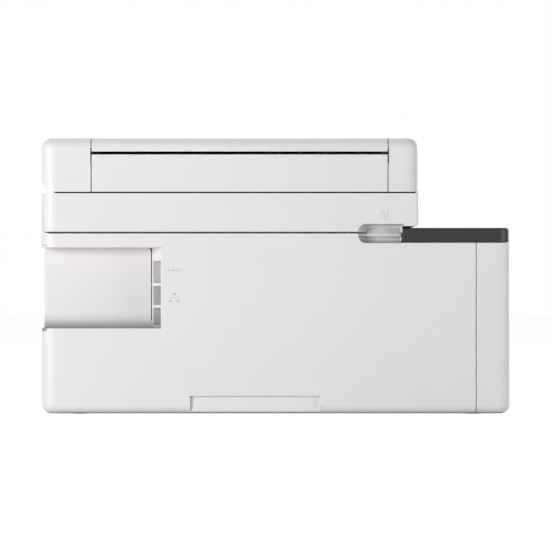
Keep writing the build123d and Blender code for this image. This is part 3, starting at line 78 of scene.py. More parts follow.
# Lengths below, and all that the modelling helpers take, are in millimetres on the frame.
MM = 0.001
PRINT_ROOT = 0.2  # how deep a printed mark on the back is rooted in its wall
PROUD = 0.03  # how far marks and tiles stand out of windows and screens
TANK_X, TANK_PITCH = -201.0, 18.5  # middle of the first ink tank, and spacing of the four
TANK_LOW, TANK_HIGH = (-7.3, -163.4, 25.6), (7.3, -63.1)  # ink's corners about a tank's middle
LEVEL_LOW, LEVEL_HIGH, LEVEL_STEPS = 50.0, 112.0, 6  # scale on the ink window
BAY_ALONG, BAY_OUT = Vector((-0.4104, 0.9119, 0.0)), Vector((0.9119, 0.4104, 0.0))
BAY_WALL, SOCKET_SETBACK = Vector((110.45, 169.0, 0.0)), 8.8  # slanted wall, and socket faces
DATA_Z, NETWORK_Z, INLET_Z = 131.75, 110.0, 90.6  # middles of the three sockets
BAY_FOOT_SHADE = (80.5, 94.5)  # heights between which painted shade fades out in the port bay
PAPER_X = 12.0  # middle of the paper drawer
FEEDER_X = 33.6  # middle of the document feeder
TILE_X, TILE_PITCH, TILE_WIDE = 8.0, 31.5, 25.0  # tiles from the screen's left edge
HEADS_X = 161.0  # middle of the print heads with the carriage parked
BOARD_FACE = 151.6  # component side of the main board
LID_ROUND, LID_ROUND_Y, LID_ROUND_Z = 9.53, 170.5, 246.0  # rounding of the lid's back edge

# Dark strips that paint the shade in seams, plain boxes: body, low corner, high corner.
SEAM_SHADE_STRIPS = {
    "seal_scanner_top": ("scanner_unit", (-103.0, 177.2, 204.65), (170.3, 179.3, 205.8)),
    "seal_lid_corner_left": ("lid", (-124.0, 172.0, 205.6), (-104.1, 179.3, 205.95)),
    "seal_lid_corner_right": ("lid", (171.4, 172.0, 205.6), (194.0, 179.3, 205.95)),
    "seal_side_cover": ("printer_base", (-185.38, 170.0, 12.0), (-184.82, 179.2, 158.0)),
}

# Studio, in metres and watts: place, width of the square, power.
LIGHTS = {
    "key_light": ((1.25, 1.5, 0.28), 0.8, 26.0),
    "side_light": ((-1.7, 0.9, 0.28), 0.8, 11.5),
    "top_light": ((0.2, -1.3, 2.2), 1.4, 16.0),
    "front_light": ((-1.1, -1.7, 0.4), 1.1, 25.0),
}
FLOOR_SIZE = 9.0
SKY_STRENGTH, BACKDROP_STRENGTH, FLOOR_LIFT = 0.24, 1.0, 0.8
PAPER, PAPER_DARK, PAPER_LIGHT = (0.72,) * 3, (0.71,) * 3, (0.73,) * 3
CAMERA_HEIGHT, LENS, SENSOR, CLIP_END = 0.12805, 250.0, 36.0, 100.0


# ---------------------------------------------------------------- settings
def linear(red, green, blue):
    """Linear colour of an 8-bit display colour."""
    return tuple(
        c / 12.92 if c <= 0.04045 else ((c + 0.055) / 1.055) ** 2.4
        for c in (red / 255, green / 255, blue / 255)
    )


def tint(name, description, *rgb):
    """Colour setting with an 8-bit display colour as its default."""
    return FloatVectorProperty(
        name=name, description=description, subtype="COLOR", size=3, min=0.0, max=1.0,
        default=linear(*rgb),
    )


def length(name, description, default):
    """Length setting in metres."""
    return FloatProperty(
        name=name, description=description, subtype="DISTANCE", unit="LENGTH", min=0.0,
        default=default,
    )


class PrinterColours(bpy.types.PropertyGroup):
    casing: tint("Casing", "Moulded outer panels", 236, 233, 236)
    deck: tint("Deck", "Ink deck, ink lid and control panel", 58, 55, 58)
    dark: tint("Dark plastic", "Black moulded parts inside", 30, 30, 31)
    grey: tint("Grey plastic", "Trays, guides, gears and the base", 128, 129, 132)
    symbol: tint("Symbols", "Printed symbols on the back", 208, 206, 208)
    ink_black: tint("Black ink", "Ink in the first tank", 16, 16, 18)
    ink_cyan: tint("Cyan ink", "Ink in the second tank", 0, 122, 178)
    ink_magenta: tint("Magenta ink", "Ink in the third tank", 176, 12, 92)
    ink_yellow: tint("Yellow ink", "Ink in the fourth tank", 240, 196, 16)
    screen_light: tint("Screen light", "Tiles shown on the display", 122, 190, 232)


class PrinterSizes(bpy.types.PropertyGroup):
    print_film: length("Printed film", "How far printed marks stand proud", 0.04 * MM)
    ink_level: length("Ink level", "Height of ink above the tank floor", 74 * MM)
    pin_width: length("Contact width", "Width of the gold contacts", 0.5 * MM)
    guide_gap: length("Guide gap", "Distance between the feeder's side guides", 214 * MM)
    rib_pitch: length("Rib pitch", "Spacing of ribs under the feeder flap", 27 * MM)
    view_distance: length("View distance", "From the back face to the camera", 3.544)


def colours():
    return bpy.context.scene.printer_colours


def sizes():
    return bpy.context.scene.printer_sizes


# ---------------------------------------------------------------- modelling helpers
def box_mm(node):
    """Low and high corners of a part of the frame."""
    return [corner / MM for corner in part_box(node)]


def add_slab(bm, low, high, round_by=0.0, segments=2, edges=None):
    """Box between two corners. Its edges are rounded: all, or those along axis number edges."""
    made = bmesh.ops.create_cube(bm, size=1.0)["verts"]
    low, high = Vector(low) * MM, Vector(high) * MM
    bmesh.ops.scale(bm, vec=high - low, verts=made)
    bmesh.ops.translate(bm, vec=(low + high) / 2, verts=made)
    if round_by:
        chosen = {e for v in made for e in v.link_edges}
        if edges is not None:
            chosen = {
                e for e in chosen
                if abs((e.verts[0].co - e.verts[1].co).normalized()[edges]) > 0.9
            }
        bmesh.ops.bevel(
            bm, geom=list(chosen), offset=round_by * MM, segments=segments, profile=0.5,
            affect="EDGES", material=-1,
        )


def add_rod(bm, start, end, radius, segments=24, round_by=0.0):
    """Closed rod between two points, the rims of its ends rounded."""
    start, end = Vector(start) * MM, Vector(end) * MM
    along = end - start
    made = bmesh.ops.create_cone(
        bm, cap_ends=True, cap_tris=False, segments=segments, radius1=radius * MM,
        radius2=radius * MM, depth=along.length,
    )["verts"]
    if round_by:
        rims = {
            e for v in made for e in v.link_edges
            if abs(e.verts[0].co.z - e.verts[1].co.z) < 1e-9
        }
        turned = bmesh.ops.bevel(
            bm, geom=list(rims), offset=round_by * MM, segments=2, profile=0.5,
            affect="EDGES", material=-1,
        )
        kept = {v for v in made if v.is_valid}
        made = list(kept | {v for f in turned["faces"] for v in f.verts})
    turn = along.to_track_quat("Z", "Y").to_matrix().to_4x4()
    bmesh.ops.transform(
        bm, matrix=Matrix.Translation((start + end) / 2) @ turn, verts=made
    )


def add_arc(bm, centre, inner, outer, depth, sweep, turn, segments=36):
    """Part of a flat washer on an XZ plane, swept by one angle and then turned by another."""
    centre, axis, up = Vector(centre) * MM, Vector((0, 1, 0)), Vector((0, 0, 1))
    corners = [
        bm.verts.new(centre + up * r * MM + axis * h * MM)
        for r, h in ((inner, 0), (outer, 0), (outer, depth), (inner, depth))
    ]
    face = bm.faces.new(corners)
    bmesh.ops.spin(
        bm, geom=[face] + corners, cent=centre, axis=axis, angle=math.radians(sweep),
        steps=segments, use_merge=False, use_duplicate=False,
    )
    bmesh.ops.rotate(
        bm, cent=centre, matrix=Matrix.Rotation(math.radians(turn), 3, "Y"), verts=bm.verts
    )


def add_plate(bm, points, thickness):
    """Flat outline of a few points given depth along a vector."""
    face = bm.faces.new([bm.verts.new(Vector(p) * MM) for p in points])
    grown = bmesh.ops.extrude_face_region(bm, geom=[face])
    moved = [g for g in grown["geom"] if isinstance(g, bmesh.types.BMVert)]
    bmesh.ops.translate(bm, vec=Vector(thickness) * MM, verts=moved)


def piece(name, bm, finish, body, place=None):
    """Finished object from a bmesh: faces outward, shaded by angle, riding on its body."""
    if place is not None:
        bmesh.ops.transform(bm, matrix=place, verts=bm.verts)
    bmesh.ops.recalc_face_normals(bm, faces=bm.faces)
    mesh = bpy.data.meshes.new(name)
    bm.to_mesh(mesh)
    bm.free()
    if not mesh.polygons:
        raise RuntimeError(name + " has no faces")
    mesh.shade_smooth()
    mesh.set_sharp_from_angle(angle=math.radians(SMOOTH_BELOW))
    mesh.materials.append(MATERIALS[finish])
    made = bpy.data.objects.new(name, mesh)
    bpy.context.scene.collection.objects.link(made)
    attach(made, body)
    return made


# ---------------------------------------------------------------- shader groups
def group(name, inputs, outputs):
    """Empty shader group with named sockets, and its two end nodes."""
    tree = bpy.data.node_groups.new(name, "ShaderNodeTree")
    for label, kind, value in inputs:
        made = tree.interface.new_socket(name=label, in_out="INPUT", socket_type=kind)
        if value is not None:
            made.default_value = value
    for label, kind in outputs:
        tree.interface.new_socket(name=label, in_out="OUTPUT", socket_type=kind)
    return tree, tree.nodes.new("NodeGroupInput"), tree.nodes.new("NodeGroupOutput")


def add(tree, kind, **values):
    """Adds a node; names with a leading i_ set input sockets by their label."""
    made = tree.nodes.new(kind)
    for key, value in values.items():
        if key.startswith("i_"):
            made.inputs[key[2:].replace("_", " ")].default_value = value
        else:
            setattr(made, key, value)
    return made


def math_node(tree, operation, first, second, clamp=False):
    """Output of a Math node fed with two numbers or sockets."""
    made = add(tree, "ShaderNodeMath", operation=operation, use_clamp=clamp)
    for socket, value in zip(made.inputs, (first, second)):
        if isinstance(value, (int, float)):
            socket.default_value = value
        else:
            tree.links.new(value, socket)
    return made.outputs[0]


def mould_texture_group():
    """Spark-eroded mould texture: fine pits, with a slow drift in tone and gloss."""
    tree, start, end = group(
        "Mould texture",
        [("Vector", "NodeSocketVector", None), ("Pit size", "NodeSocketFloat", 1500.0),
         ("Drift size", "NodeSocketFloat", 9.0)],
        [("Height", "NodeSocketFloat"), ("Drift", "NodeSocketFloat"),
         ("Speck", "NodeSocketFloat")],
    )
    fine = add(tree, "ShaderNodeTexNoise", i_Detail=3.0, i_Roughness=0.6)
    pits = add(tree, "ShaderNodeTexVoronoi", feature="SMOOTH_F1", i_Smoothness=0.4)
    drift = add(tree, "ShaderNodeTexNoise", i_Detail=2.0)
    dust_and_shade = add(tree, "ShaderNodeTexNoise", i_Detail=4.0, i_Scale=420.0)
    link = tree.links.new
    for node in (fine, pits, drift, dust_and_shade):
        link(start.outputs["Vector"], node.inputs["Vector"])
    link(start.outputs["Pit size"], fine.inputs["Scale"])
    link(math_node(tree, "MULTIPLY", start.outputs["Pit size"], 0.6), pits.inputs["Scale"])
    link(start.outputs["Drift size"], drift.inputs["Scale"])
    height = math_node(tree, "ADD", math_node(tree, "MULTIPLY", fine.outputs["Fac"], 0.6),
                       math_node(tree, "MULTIPLY", pits.outputs["Distance"], 0.4))
    link(height, end.inputs["Height"])
    link(drift.outputs["Fac"], end.inputs["Drift"])
    ramp = add(tree, "ShaderNodeMapRange", i_From_Min=0.68, i_From_Max=0.8)
    link(dust_and_shade.outputs["Fac"], ramp.inputs["Value"])
    link(ramp.outputs["Result"], end.inputs["Speck"])
    return tree


def edge_group():
    """Worn and rounded edges: a softened normal, a mask along edges, and three of painted shade.

    Crevice shade darkens any hollow, Seam shade a narrow gap, Upward hollow shade a hollow facing
    up."""
    tree, start, end = group(
        "Edge wear",
        [("Vector", "NodeSocketVector", None), ("Radius", "NodeSocketFloat", 0.0006)],
        [("Normal", "NodeSocketVector"), ("Edge", "NodeSocketFloat"),
         ("Crevice", "NodeSocketFloat"), ("Seam", "NodeSocketFloat"),
         ("Settled", "NodeSocketFloat")],
    )
    link = tree.links.new
    soft = add(tree, "ShaderNodeBevel", samples=4)
    link(start.outputs["Radius"], soft.inputs["Radius"])
    plain = add(tree, "ShaderNodeNewGeometry")
    compare = add(tree, "ShaderNodeVectorMath", operation="DOT_PRODUCT")
    link(soft.outputs["Normal"], compare.inputs[0])
    link(plain.outputs["Normal"], compare.inputs[1])
    rough = add(tree, "ShaderNodeTexNoise", i_Scale=160.0, i_Detail=3.0)
    link(start.outputs["Vector"], rough.inputs["Vector"])
    turn = math_node(tree, "SUBTRACT", 1.0, compare.outputs["Value"])
    turn = math_node(tree, "MULTIPLY", turn, 6.0, clamp=True)
    link(math_node(tree, "MULTIPLY", turn, rough.outputs["Fac"], clamp=True), end.inputs["Edge"])
    link(soft.outputs["Normal"], end.inputs["Normal"])
    # Painted shade from ambient occlusion: wide for any hollow, tight for narrow gaps, and the
    # wide one again where a hollow faces up.
    wide = add(tree, "ShaderNodeAmbientOcclusion", samples=6, i_Distance=0.012)
    closed = math_node(tree, "SUBTRACT", 1.0, wide.outputs["AO"], clamp=True)
    link(closed, end.inputs["Crevice"])
    tight = add(tree, "ShaderNodeAmbientOcclusion", samples=6, i_Distance=0.003)
    gap = add(tree, "ShaderNodeMapRange", i_From_Min=0.12, i_From_Max=0.4, i_To_Min=1.0,
              i_To_Max=0.0)
    link(tight.outputs["AO"], gap.inputs["Value"])
    link(gap.outputs["Result"], end.inputs["Seam"])
    facing = add(tree, "ShaderNodeSeparateXYZ")
    link(add(tree, "ShaderNodeTexCoord").outputs["Normal"], facing.inputs[0])
    hollow = math_node(tree, "MULTIPLY", closed, 5.0, clamp=True)
    link(math_node(tree, "MULTIPLY", facing.outputs["Z"], hollow, clamp=True),
         end.inputs["Settled"])
    return tree


def brushed_group():
    """Fine parallel scratches along X with a slow change of gloss."""
    tree, start, end = group(
        "Brushed lines",
        [("Vector", "NodeSocketVector", None), ("Line size", "NodeSocketFloat", 900.0)],
        [("Lines", "NodeSocketFloat"), ("Blotch", "NodeSocketFloat")],
    )
    link = tree.links.new
    flat = add(tree, "ShaderNodeMapping", i_Scale=(0.02, 1.0, 1.0))
    lines = add(tree, "ShaderNodeTexNoise", i_Detail=4.0)
    blotch = add(tree, "ShaderNodeTexNoise", i_Scale=26.0, i_Detail=3.0)
    link(start.outputs["Vector"], flat.inputs["Vector"])
    link(flat.outputs["Vector"], lines.inputs["Vector"])
    link(start.outputs["Line size"], lines.inputs["Scale"])
    link(start.outputs["Vector"], blotch.inputs["Vector"])
    link(lines.outputs["Fac"], end.inputs["Lines"])
    link(blotch.outputs["Fac"], end.inputs["Blotch"])
    return tree


def trace_group():
    """Copper traces and pads showing through a board's lacquer."""
    tree, start, end = group(
        "Board traces",
        [("Vector", "NodeSocketVector", None), ("Pitch", "NodeSocketFloat", 220.0)],
        [("Trace", "NodeSocketFloat")],
    )
    link = tree.links.new
    cells = add(tree, "ShaderNodeTexVoronoi", feature="DISTANCE_TO_EDGE")
    link(start.outputs["Vector"], cells.inputs["Vector"])
    link(start.outputs["Pitch"], cells.inputs["Scale"])
    thin = add(tree, "ShaderNodeMapRange", i_From_Min=0.03, i_From_Max=0.06, i_To_Min=1.0,
               i_To_Max=0.0)
    link(cells.outputs["Distance"], thin.inputs["Value"])
    link(thin.outputs["Result"], end.inputs["Trace"])
    return tree


GROUPS = {}


def shader_groups():
    """The shared groups, made on first use."""
    if not GROUPS:
        GROUPS.update(
            mould=mould_texture_group(), edge=edge_group(), brushed=brushed_group(),
            trace=trace_group(),
        )
    return GROUPS


# ---------------------------------------------------------------- materials
MIX_LOW, MIX_HIGH, MIX_RESULT = 6, 7, 2  # colour sockets of a Mix node

# Moulded plastic: shades of the base colour for each kind of mark; those for hollows, gaps and
# the foot are painted shade.
DRIFT_DARK, DRIFT_LIGHT, SPECK_DARK, UPWARD_SHADE_DARK, FOOT_SHADE_DARK = 0.975, 1.02, 0.9, 0.36, 0.42
CREVICE_SHADE_AMOUNT, FOOT_SHADE_CURVE, GLOSS_DRIFT = 0.5, 1.6, 0.05


class Finish:
    """A material under construction: Principled shader plus Object coordinates."""

    def __init__(self, name, colour, roughness, **shader):
        self.material = bpy.data.materials.new(name)
        self.material.use_nodes = True
        self.material.diffuse_color = (*colour, 1.0)
        self.tree = self.material.node_tree
        self.tree.nodes.clear()
        self.out = self.tree.nodes.new("ShaderNodeOutputMaterial")
        self.shader = self.tree.nodes.new("ShaderNodeBsdfPrincipled")
        self.link(self.shader.outputs[0], self.out.inputs["Surface"])
        self.coords = self.tree.nodes.new("ShaderNodeTexCoord").outputs["Object"]
        self.shader.inputs["Base Color"].default_value = (*colour, 1.0)
        self.shader.inputs["Roughness"].default_value = roughness
        for label, value in shader.items():
            self.shader.inputs[label.replace("_", " ")].default_value = value

    def link(self, source, target):
        self.tree.links.new(source, target)

    def use(self, key, **values):
        """Places a shared group and feeds it this piece's coordinates."""
        node = self.tree.nodes.new("ShaderNodeGroup")
        node.node_tree = shader_groups()[key]
        self.link(self.coords, node.inputs["Vector"])
        for label, value in values.items():
            node.inputs[label.replace("_", " ")].default_value = value
        return node

    def mix(self, mask, low, high, amount=1.0):
        """Colour that goes from low to high with a mask."""
        node = add(self.tree, "ShaderNodeMix", data_type="RGBA", blend_type="MIX")
        self.link(math_node(self.tree, "MULTIPLY", mask, amount, clamp=True), node.inputs[0])
        for socket, value in ((node.inputs[MIX_LOW], low), (node.inputs[MIX_HIGH], high)):
            if hasattr(value, "is_linked"):
                self.link(value, socket)
            else:
                socket.default_value = (*value[:3], 1.0)
        return node.outputs[MIX_RESULT]

    def spread(self, source, low, high):
        """Stretches the middle of a noise over a range of values."""
        node = add(self.tree, "ShaderNodeMapRange", i_From_Min=0.3, i_From_Max=0.7,
                   i_To_Min=low, i_To_Max=high)
        self.link(source, node.inputs["Value"])
        return node.outputs["Result"]

    def bump(self, height, distance, strength, normal=None):
        """Raises the surface by a height field, on top of a softened normal if there is one."""
        node = add(self.tree, "ShaderNodeBump", i_Distance=distance, i_Strength=strength)
        self.link(height, node.inputs["Height"])
        if normal is not None:
            self.link(normal, node.inputs["Normal"])
        self.link(node.outputs["Normal"], self.shader.inputs["Normal"])


def shade(colour, by):
    """Colour scaled by a factor and kept between black and white."""
    return tuple(max(0.0, min(1.0, c * by)) for c in colour[:3])


def moulded(name, colour, roughness, pit_size=1500.0, depth=0.00003, edge=1.06, crevice=0.55,
            speck=0.12, radius=0.0006, seam=0.05, foot=None, **shader):
    """Injection-moulded plastic with mould texture, softened edges, dust specks and painted
    shade.

    foot is a pair of heights, with painted shade at the lower one that has faded out at the
    upper."""
    made = Finish(name, colour, roughness, **shader)
    grain = made.use("mould", Pit_size=pit_size)
    edges = made.use("edge", Radius=radius)
    base = made.mix(grain.outputs["Drift"], shade(colour, DRIFT_DARK),
                    shade(colour, DRIFT_LIGHT))
    base = made.mix(edges.outputs["Edge"], base, shade(colour, edge))
    base = made.mix(grain.outputs["Speck"], base, shade(colour, SPECK_DARK), speck)
    # Painted shade in hollows, darker still in hollows that face up.
    base = made.mix(edges.outputs["Crevice"], base, shade(colour, crevice), CREVICE_SHADE_AMOUNT)
    base = made.mix(edges.outputs["Settled"], base, shade(colour, UPWARD_SHADE_DARK), crevice)
    # Painted shade at the foot, fading out upward.
    if foot:
        place = add(made.tree, "ShaderNodeSeparateXYZ")
        fade = add(made.tree, "ShaderNodeMapRange", i_From_Min=foot[1] * MM,
                   i_From_Max=foot[0] * MM)
        made.link(made.coords, place.inputs[0])
        made.link(place.outputs["Z"], fade.inputs["Value"])
        dust_and_shade = math_node(made.tree, "POWER", fade.outputs["Result"], FOOT_SHADE_CURVE)
        base = made.mix(dust_and_shade, base, shade(colour, FOOT_SHADE_DARK))
    # Painted shade in narrow gaps between parts.
    base = made.mix(edges.outputs["Seam"], base, shade(colour, seam))
    made.link(base, made.shader.inputs["Base Color"])
    gloss = made.spread(grain.outputs["Drift"], roughness - GLOSS_DRIFT, roughness + GLOSS_DRIFT)
    made.link(gloss, made.shader.inputs["Roughness"])
    made.bump(grain.outputs["Height"], depth, 0.5, edges.outputs["Normal"])
    return made.material


def metal(name, colour, roughness):
    """Plated metal: fine drawn lines, blotches and bright edges."""
    made = Finish(name, colour, roughness, Metallic=1.0)
    lines = made.use("brushed", Line_size=900.0)
    edges = made.use("edge", Radius=0.0003)
    base = made.mix(lines.outputs["Blotch"], shade(colour, 0.86), colour)
    base = made.mix(edges.outputs["Edge"], base, shade(colour, 1.25))
    made.link(base, made.shader.inputs["Base Color"])
    made.link(made.spread(lines.outputs["Lines"], roughness - 0.1, roughness + 0.12),
              made.shader.inputs["Roughness"])
    made.bump(lines.outputs["Lines"], 0.00002, 0.4, edges.outputs["Normal"])
    return made.material


def rubber(name, colour):
    """Ground rubber: powdery, with scuffed edges."""
    made = Finish(name, colour, 0.85, Specular_IOR_Level=0.3)
    grain = made.use("mould", Pit_size=2600.0, Drift_size=60.0)
    edges = made.use("edge", Radius=0.0004)
    base = made.mix(grain.outputs["Drift"], shade(colour, 0.8), shade(colour, 1.5))
    base = made.mix(edges.outputs["Edge"], base, shade(colour, 2.2), 0.6)
    made.link(base, made.shader.inputs["Base Color"])
    made.bump(grain.outputs["Height"], 0.00008, 0.8, edges.outputs["Normal"])
    return made.material


def clear(name, colour, roughness, alpha):
    """See-through plastic or glass with faint streaks; alpha sets how much shows through."""
    made = Finish(name, colour, roughness, Alpha=alpha)
    grain = made.use("mould", Pit_size=700.0, Drift_size=14.0)
    made.link(made.spread(grain.outputs["Drift"], max(0.02, roughness - 0.03), roughness + 0.05),
              made.shader.inputs["Roughness"])
    base = made.mix(grain.outputs["Drift"], shade(colour, 0.95), colour)
    made.link(base, made.shader.inputs["Base Color"])
    made.bump(grain.outputs["Height"], 0.00001, 0.15)
    return made.material


def ink(name, colour):
    """Ink seen through the tank: deep, wet and slightly uneven."""
    made = Finish(name, colour, 0.12, Coat_Weight=0.6)
    grain = made.use("mould", Pit_size=60.0, Drift_size=24.0)
    made.link(made.mix(grain.outputs["Drift"], shade(colour, 0.82), shade(colour, 1.08)),
              made.shader.inputs["Base Color"])
    made.bump(grain.outputs["Height"], 0.00005, 0.2)
    return made.material


def lit(name, colour, strength):
    """Backlit film: even glow with a soft mottle."""
    made = Finish(name, shade(colour, 0.6), 0.35, Emission_Strength=strength)
    grain = made.use("mould", Pit_size=900.0, Drift_size=40.0)
    glow = made.mix(grain.outputs["Drift"], shade(colour, 0.9), colour)
    made.link(glow, made.shader.inputs["Emission Color"])
    made.link(glow, made.shader.inputs["Base Color"])
    return made.material


def circuit_board(name, colour):
    """Lacquered board with its traces showing."""
    made = Finish(name, colour, 0.4, Coat_Weight=0.3)
    grain = made.use("mould", Pit_size=1200.0)
    traces = made.use("trace", Pitch=240.0)
    base = made.mix(grain.outputs["Drift"], shade(colour, 0.85), shade(colour, 1.15))
    base = made.mix(traces.outputs["Trace"], base, shade(colour, 1.9), 0.7)
    made.link(base, made.shader.inputs["Base Color"])
    made.bump(traces.outputs["Trace"], 0.00004, 0.5)
    return made.material


MATERIALS = {}
# The port bay's panel takes a casing copy with painted shade at its foot.
OWN_FINISH = {"port_bay_panel": "bay"}  # parts with a finish other than their slot's


def make_materials():
    """Fills MATERIALS: one for each slot of the record, and those of the small fittings."""
    c = colours()
    m = MATERIALS
    m["body_white"] = moulded("Casing white", tuple(c.casing), 0.5, crevice=0.95)
    # Casing copy with painted shade towards the port bay's foot.
    m["bay"] = moulded("Bay liner", tuple(c.casing), 0.5, crevice=0.95, foot=BAY_FOOT_SHADE)
    # Casing colour darkened as painted shade inside the finger scoop.
    m["scoop"] = moulded("Scoop lining", shade(tuple(c.casing), 0.84), 0.5, crevice=0.95)
    m["deck_dark"] = moulded("Deck charcoal", tuple(c.deck), 0.46, edge=1.8, speck=0.2,
                             crevice=0.4)
    m["black_plastic"] = moulded("Black moulding", tuple(c.dark), 0.5, edge=2.2, speck=0.3,
                                 crevice=0.4)
    m["grey_plastic"] = moulded("Grey moulding", tuple(c.grey), 0.5, edge=1.25)
    m["rubber"] = rubber("Roller rubber", linear(46, 46, 48))
    m["steel"] = metal("Zinc-plated steel", linear(196, 198, 202), 0.34)
    m["clear"] = clear("Level window", linear(214, 222, 228), 0.08, 0.1)
    m["glass"] = clear("Platen glass", linear(206, 222, 222), 0.04, 0.32)
    m["tank_clear"] = clear("Tank plastic", linear(226, 230, 232), 0.3, 0.16)
    m["screen"] = moulded("Display glass", linear(14, 15, 18), 0.14, depth=0.000004, speck=0.1,
                          Coat_Weight=0.8)
    m["foam"] = moulded("White film", linear(244, 244, 240), 0.7, pit_size=900.0,
                        depth=0.00006, radius=0.0008)
    m["board"] = circuit_board("Circuit board", linear(24, 92, 58))
    m["cap_black"] = moulded("Black cap", linear(40, 40, 42), 0.42, edge=1.9)
    m["cap_cyan"] = moulded("Cyan cap", linear(0, 138, 196), 0.42, edge=1.3)
    m["cap_magenta"] = moulded("Magenta cap", linear(204, 28, 116), 0.42, edge=1.3)
    m["cap_yellow"] = moulded("Yellow cap", linear(244, 204, 20), 0.42, edge=1.2)
    m["gold"] = metal("Gold contact", linear(232, 190, 96), 0.25)
    m["chrome"] = metal("Nickel pin", linear(214, 212, 206), 0.2)
    m["symbol"] = moulded("Printed symbol", tuple(c.symbol), 0.6, radius=0.00002, depth=0.00001,
                          crevice=1.0, seam=1.0)
    # Near-black strips that paint the shade in seams and gaps.
    m["seal"] = moulded("Black foam seal", linear(24, 23, 25), 0.9, edge=1.2, speck=0.3,
                        depth=0.00006, seam=0.5)
    m["mark"] = moulded("White print", linear(206, 208, 212), 0.55, radius=0.00002,
                        depth=0.00001)
    m["tile"] = lit("Screen tile", tuple(c.screen_light), 0.5)
    m["lamp"] = lit("Scanner lamp", linear(238, 244, 250), 0.6)
    m["led"] = lit("Status light", linear(150, 190, 150), 0.15)
    m["encoder"] = clear("Encoder film", linear(190, 196, 204), 0.2, 0.5)
    for name in INK_NAMES:
        m["ink_" + name] = ink(name.capitalize() + " ink", tuple(getattr(c, "ink_" + name)))


# ---------------------------------------------------------------- operators
class PRINTER_OT_finishes(bpy.types.Operator):
    """Gives every machined and moulded part of the frame its finish"""

    bl_idname = "printer.finishes"
    bl_label = "Part Finishes"

    def execute(self, context):
        make_materials()
        for row in RECORD["subparts"]:
            mesh = NODES[row["node"]].data
            mesh.materials.clear()
            mesh.materials.append(MATERIALS[OWN_FINISH.get(row["node"], row["material_slot"])])
        return {"FINISHED"}


def rear_symbol(name, x, z, body, draw):
    """Printed symbol on the back face. draw gets the mesh and the film's two depths."""
    bm = bmesh.new()
    back = CAD_BOX[1].y / MM
    draw(bm, back - PRINT_ROOT, back + sizes().print_film / MM)
    place = Matrix.Translation((x * MM, 0, z * MM))
    return piece(name, bm, "symbol", body, place)


def draw_plug(bm, near, far):
    """Cable between a plug and a socket, with a small branch above and below."""
    add_rod(bm, (-5.0, near, 0), (-5.0, far, 0), 0.75, segments=20)
    for x0, z0, x1, z1 in (
        (-5.0, -0.24, 5.0, 0.24), (5.0, -1.5, 5.7, 1.5), (-2.6, 0, -2.1, 2.3),
        (-3.0, -2.3, -1.6, -1.5), (-2.6, -1.5, -2.1, 0), (0.4, -0.6, 3.0, 0.6),
    ):
        add_slab(bm, (x0, near, z0), (x1, far, z1))


def draw_tree(bm, near, far):
    """Three boxes joined by lines, for a wired network."""
    for x, z in ((0, 3.6), (-3.6, -3.2), (3.6, -3.2)):
        add_slab(bm, (x - 1.4, near, z - 1.1), (x + 1.4, far, z + 1.1))
    add_slab(bm, (-3.85, near, -0.05), (3.85, far, 0.45))
    add_slab(bm, (-0.25, near, 0.4), (0.25, far, 2.6))
    for x in (-3.6, 3.6):
        add_slab(bm, (x - 0.25, near, -2.2), (x + 0.25, far, 0))


def draw_bottles(bm, near, far):
    """An ink bottle in outline, and a slim one beside it."""
    outline = [(-1.9, -3.6), (-1.2, 0.4), (-1.2, 4.0), (1.2, 4.0), (1.2, 0.4), (1.9, -3.6)]
    half_line, bottle_x = 0.27, 1.9
    for (x0, z0), (x1, z1) in zip(outline, outline[1:]):
        along = Vector((x1 - x0, 0, z1 - z0)).normalized() * half_line
        wide = Vector((-along.z, 0, along.x))
        start = Vector((x0 + bottle_x, 0, z0)) - along
        end = Vector((x1 + bottle_x, 0, z1)) + along
        corners = [start - wide, end - wide, end + wide, start + wide]
        add_plate(bm, [(c.x, near, c.z) for c in corners], (0, far - near, 0))
    add_slab(bm, (-2.9, near, -2.4), (-1.9, far, 4.0))


class PRINTER_OT_rear_symbols(bpy.types.Operator):
    """Prints the three symbols on the back: data, network and ink"""

    bl_idname = "printer.rear_symbols"
    bl_label = "Rear Symbols"

    def execute(self, context):
        rear_symbol("symbol_data", 93.9, 133.4, "printer_base", draw_plug)
        rear_symbol("symbol_network", 93.9, 107.9, "printer_base", draw_tree)
        rear_symbol("symbol_ink", -100.6, 184.0, "scanner_unit", draw_bottles)
        return {"FINISHED"}


def port_place():
    """Local frame of the bay's slanted wall: X along it, Y outward, Z up."""
    turn = Matrix((BAY_ALONG, BAY_OUT, (0, 0, 1))).transposed().to_4x4()
    return Matrix.Translation((BAY_WALL - BAY_OUT * SOCKET_SETBACK) * MM) @ turn


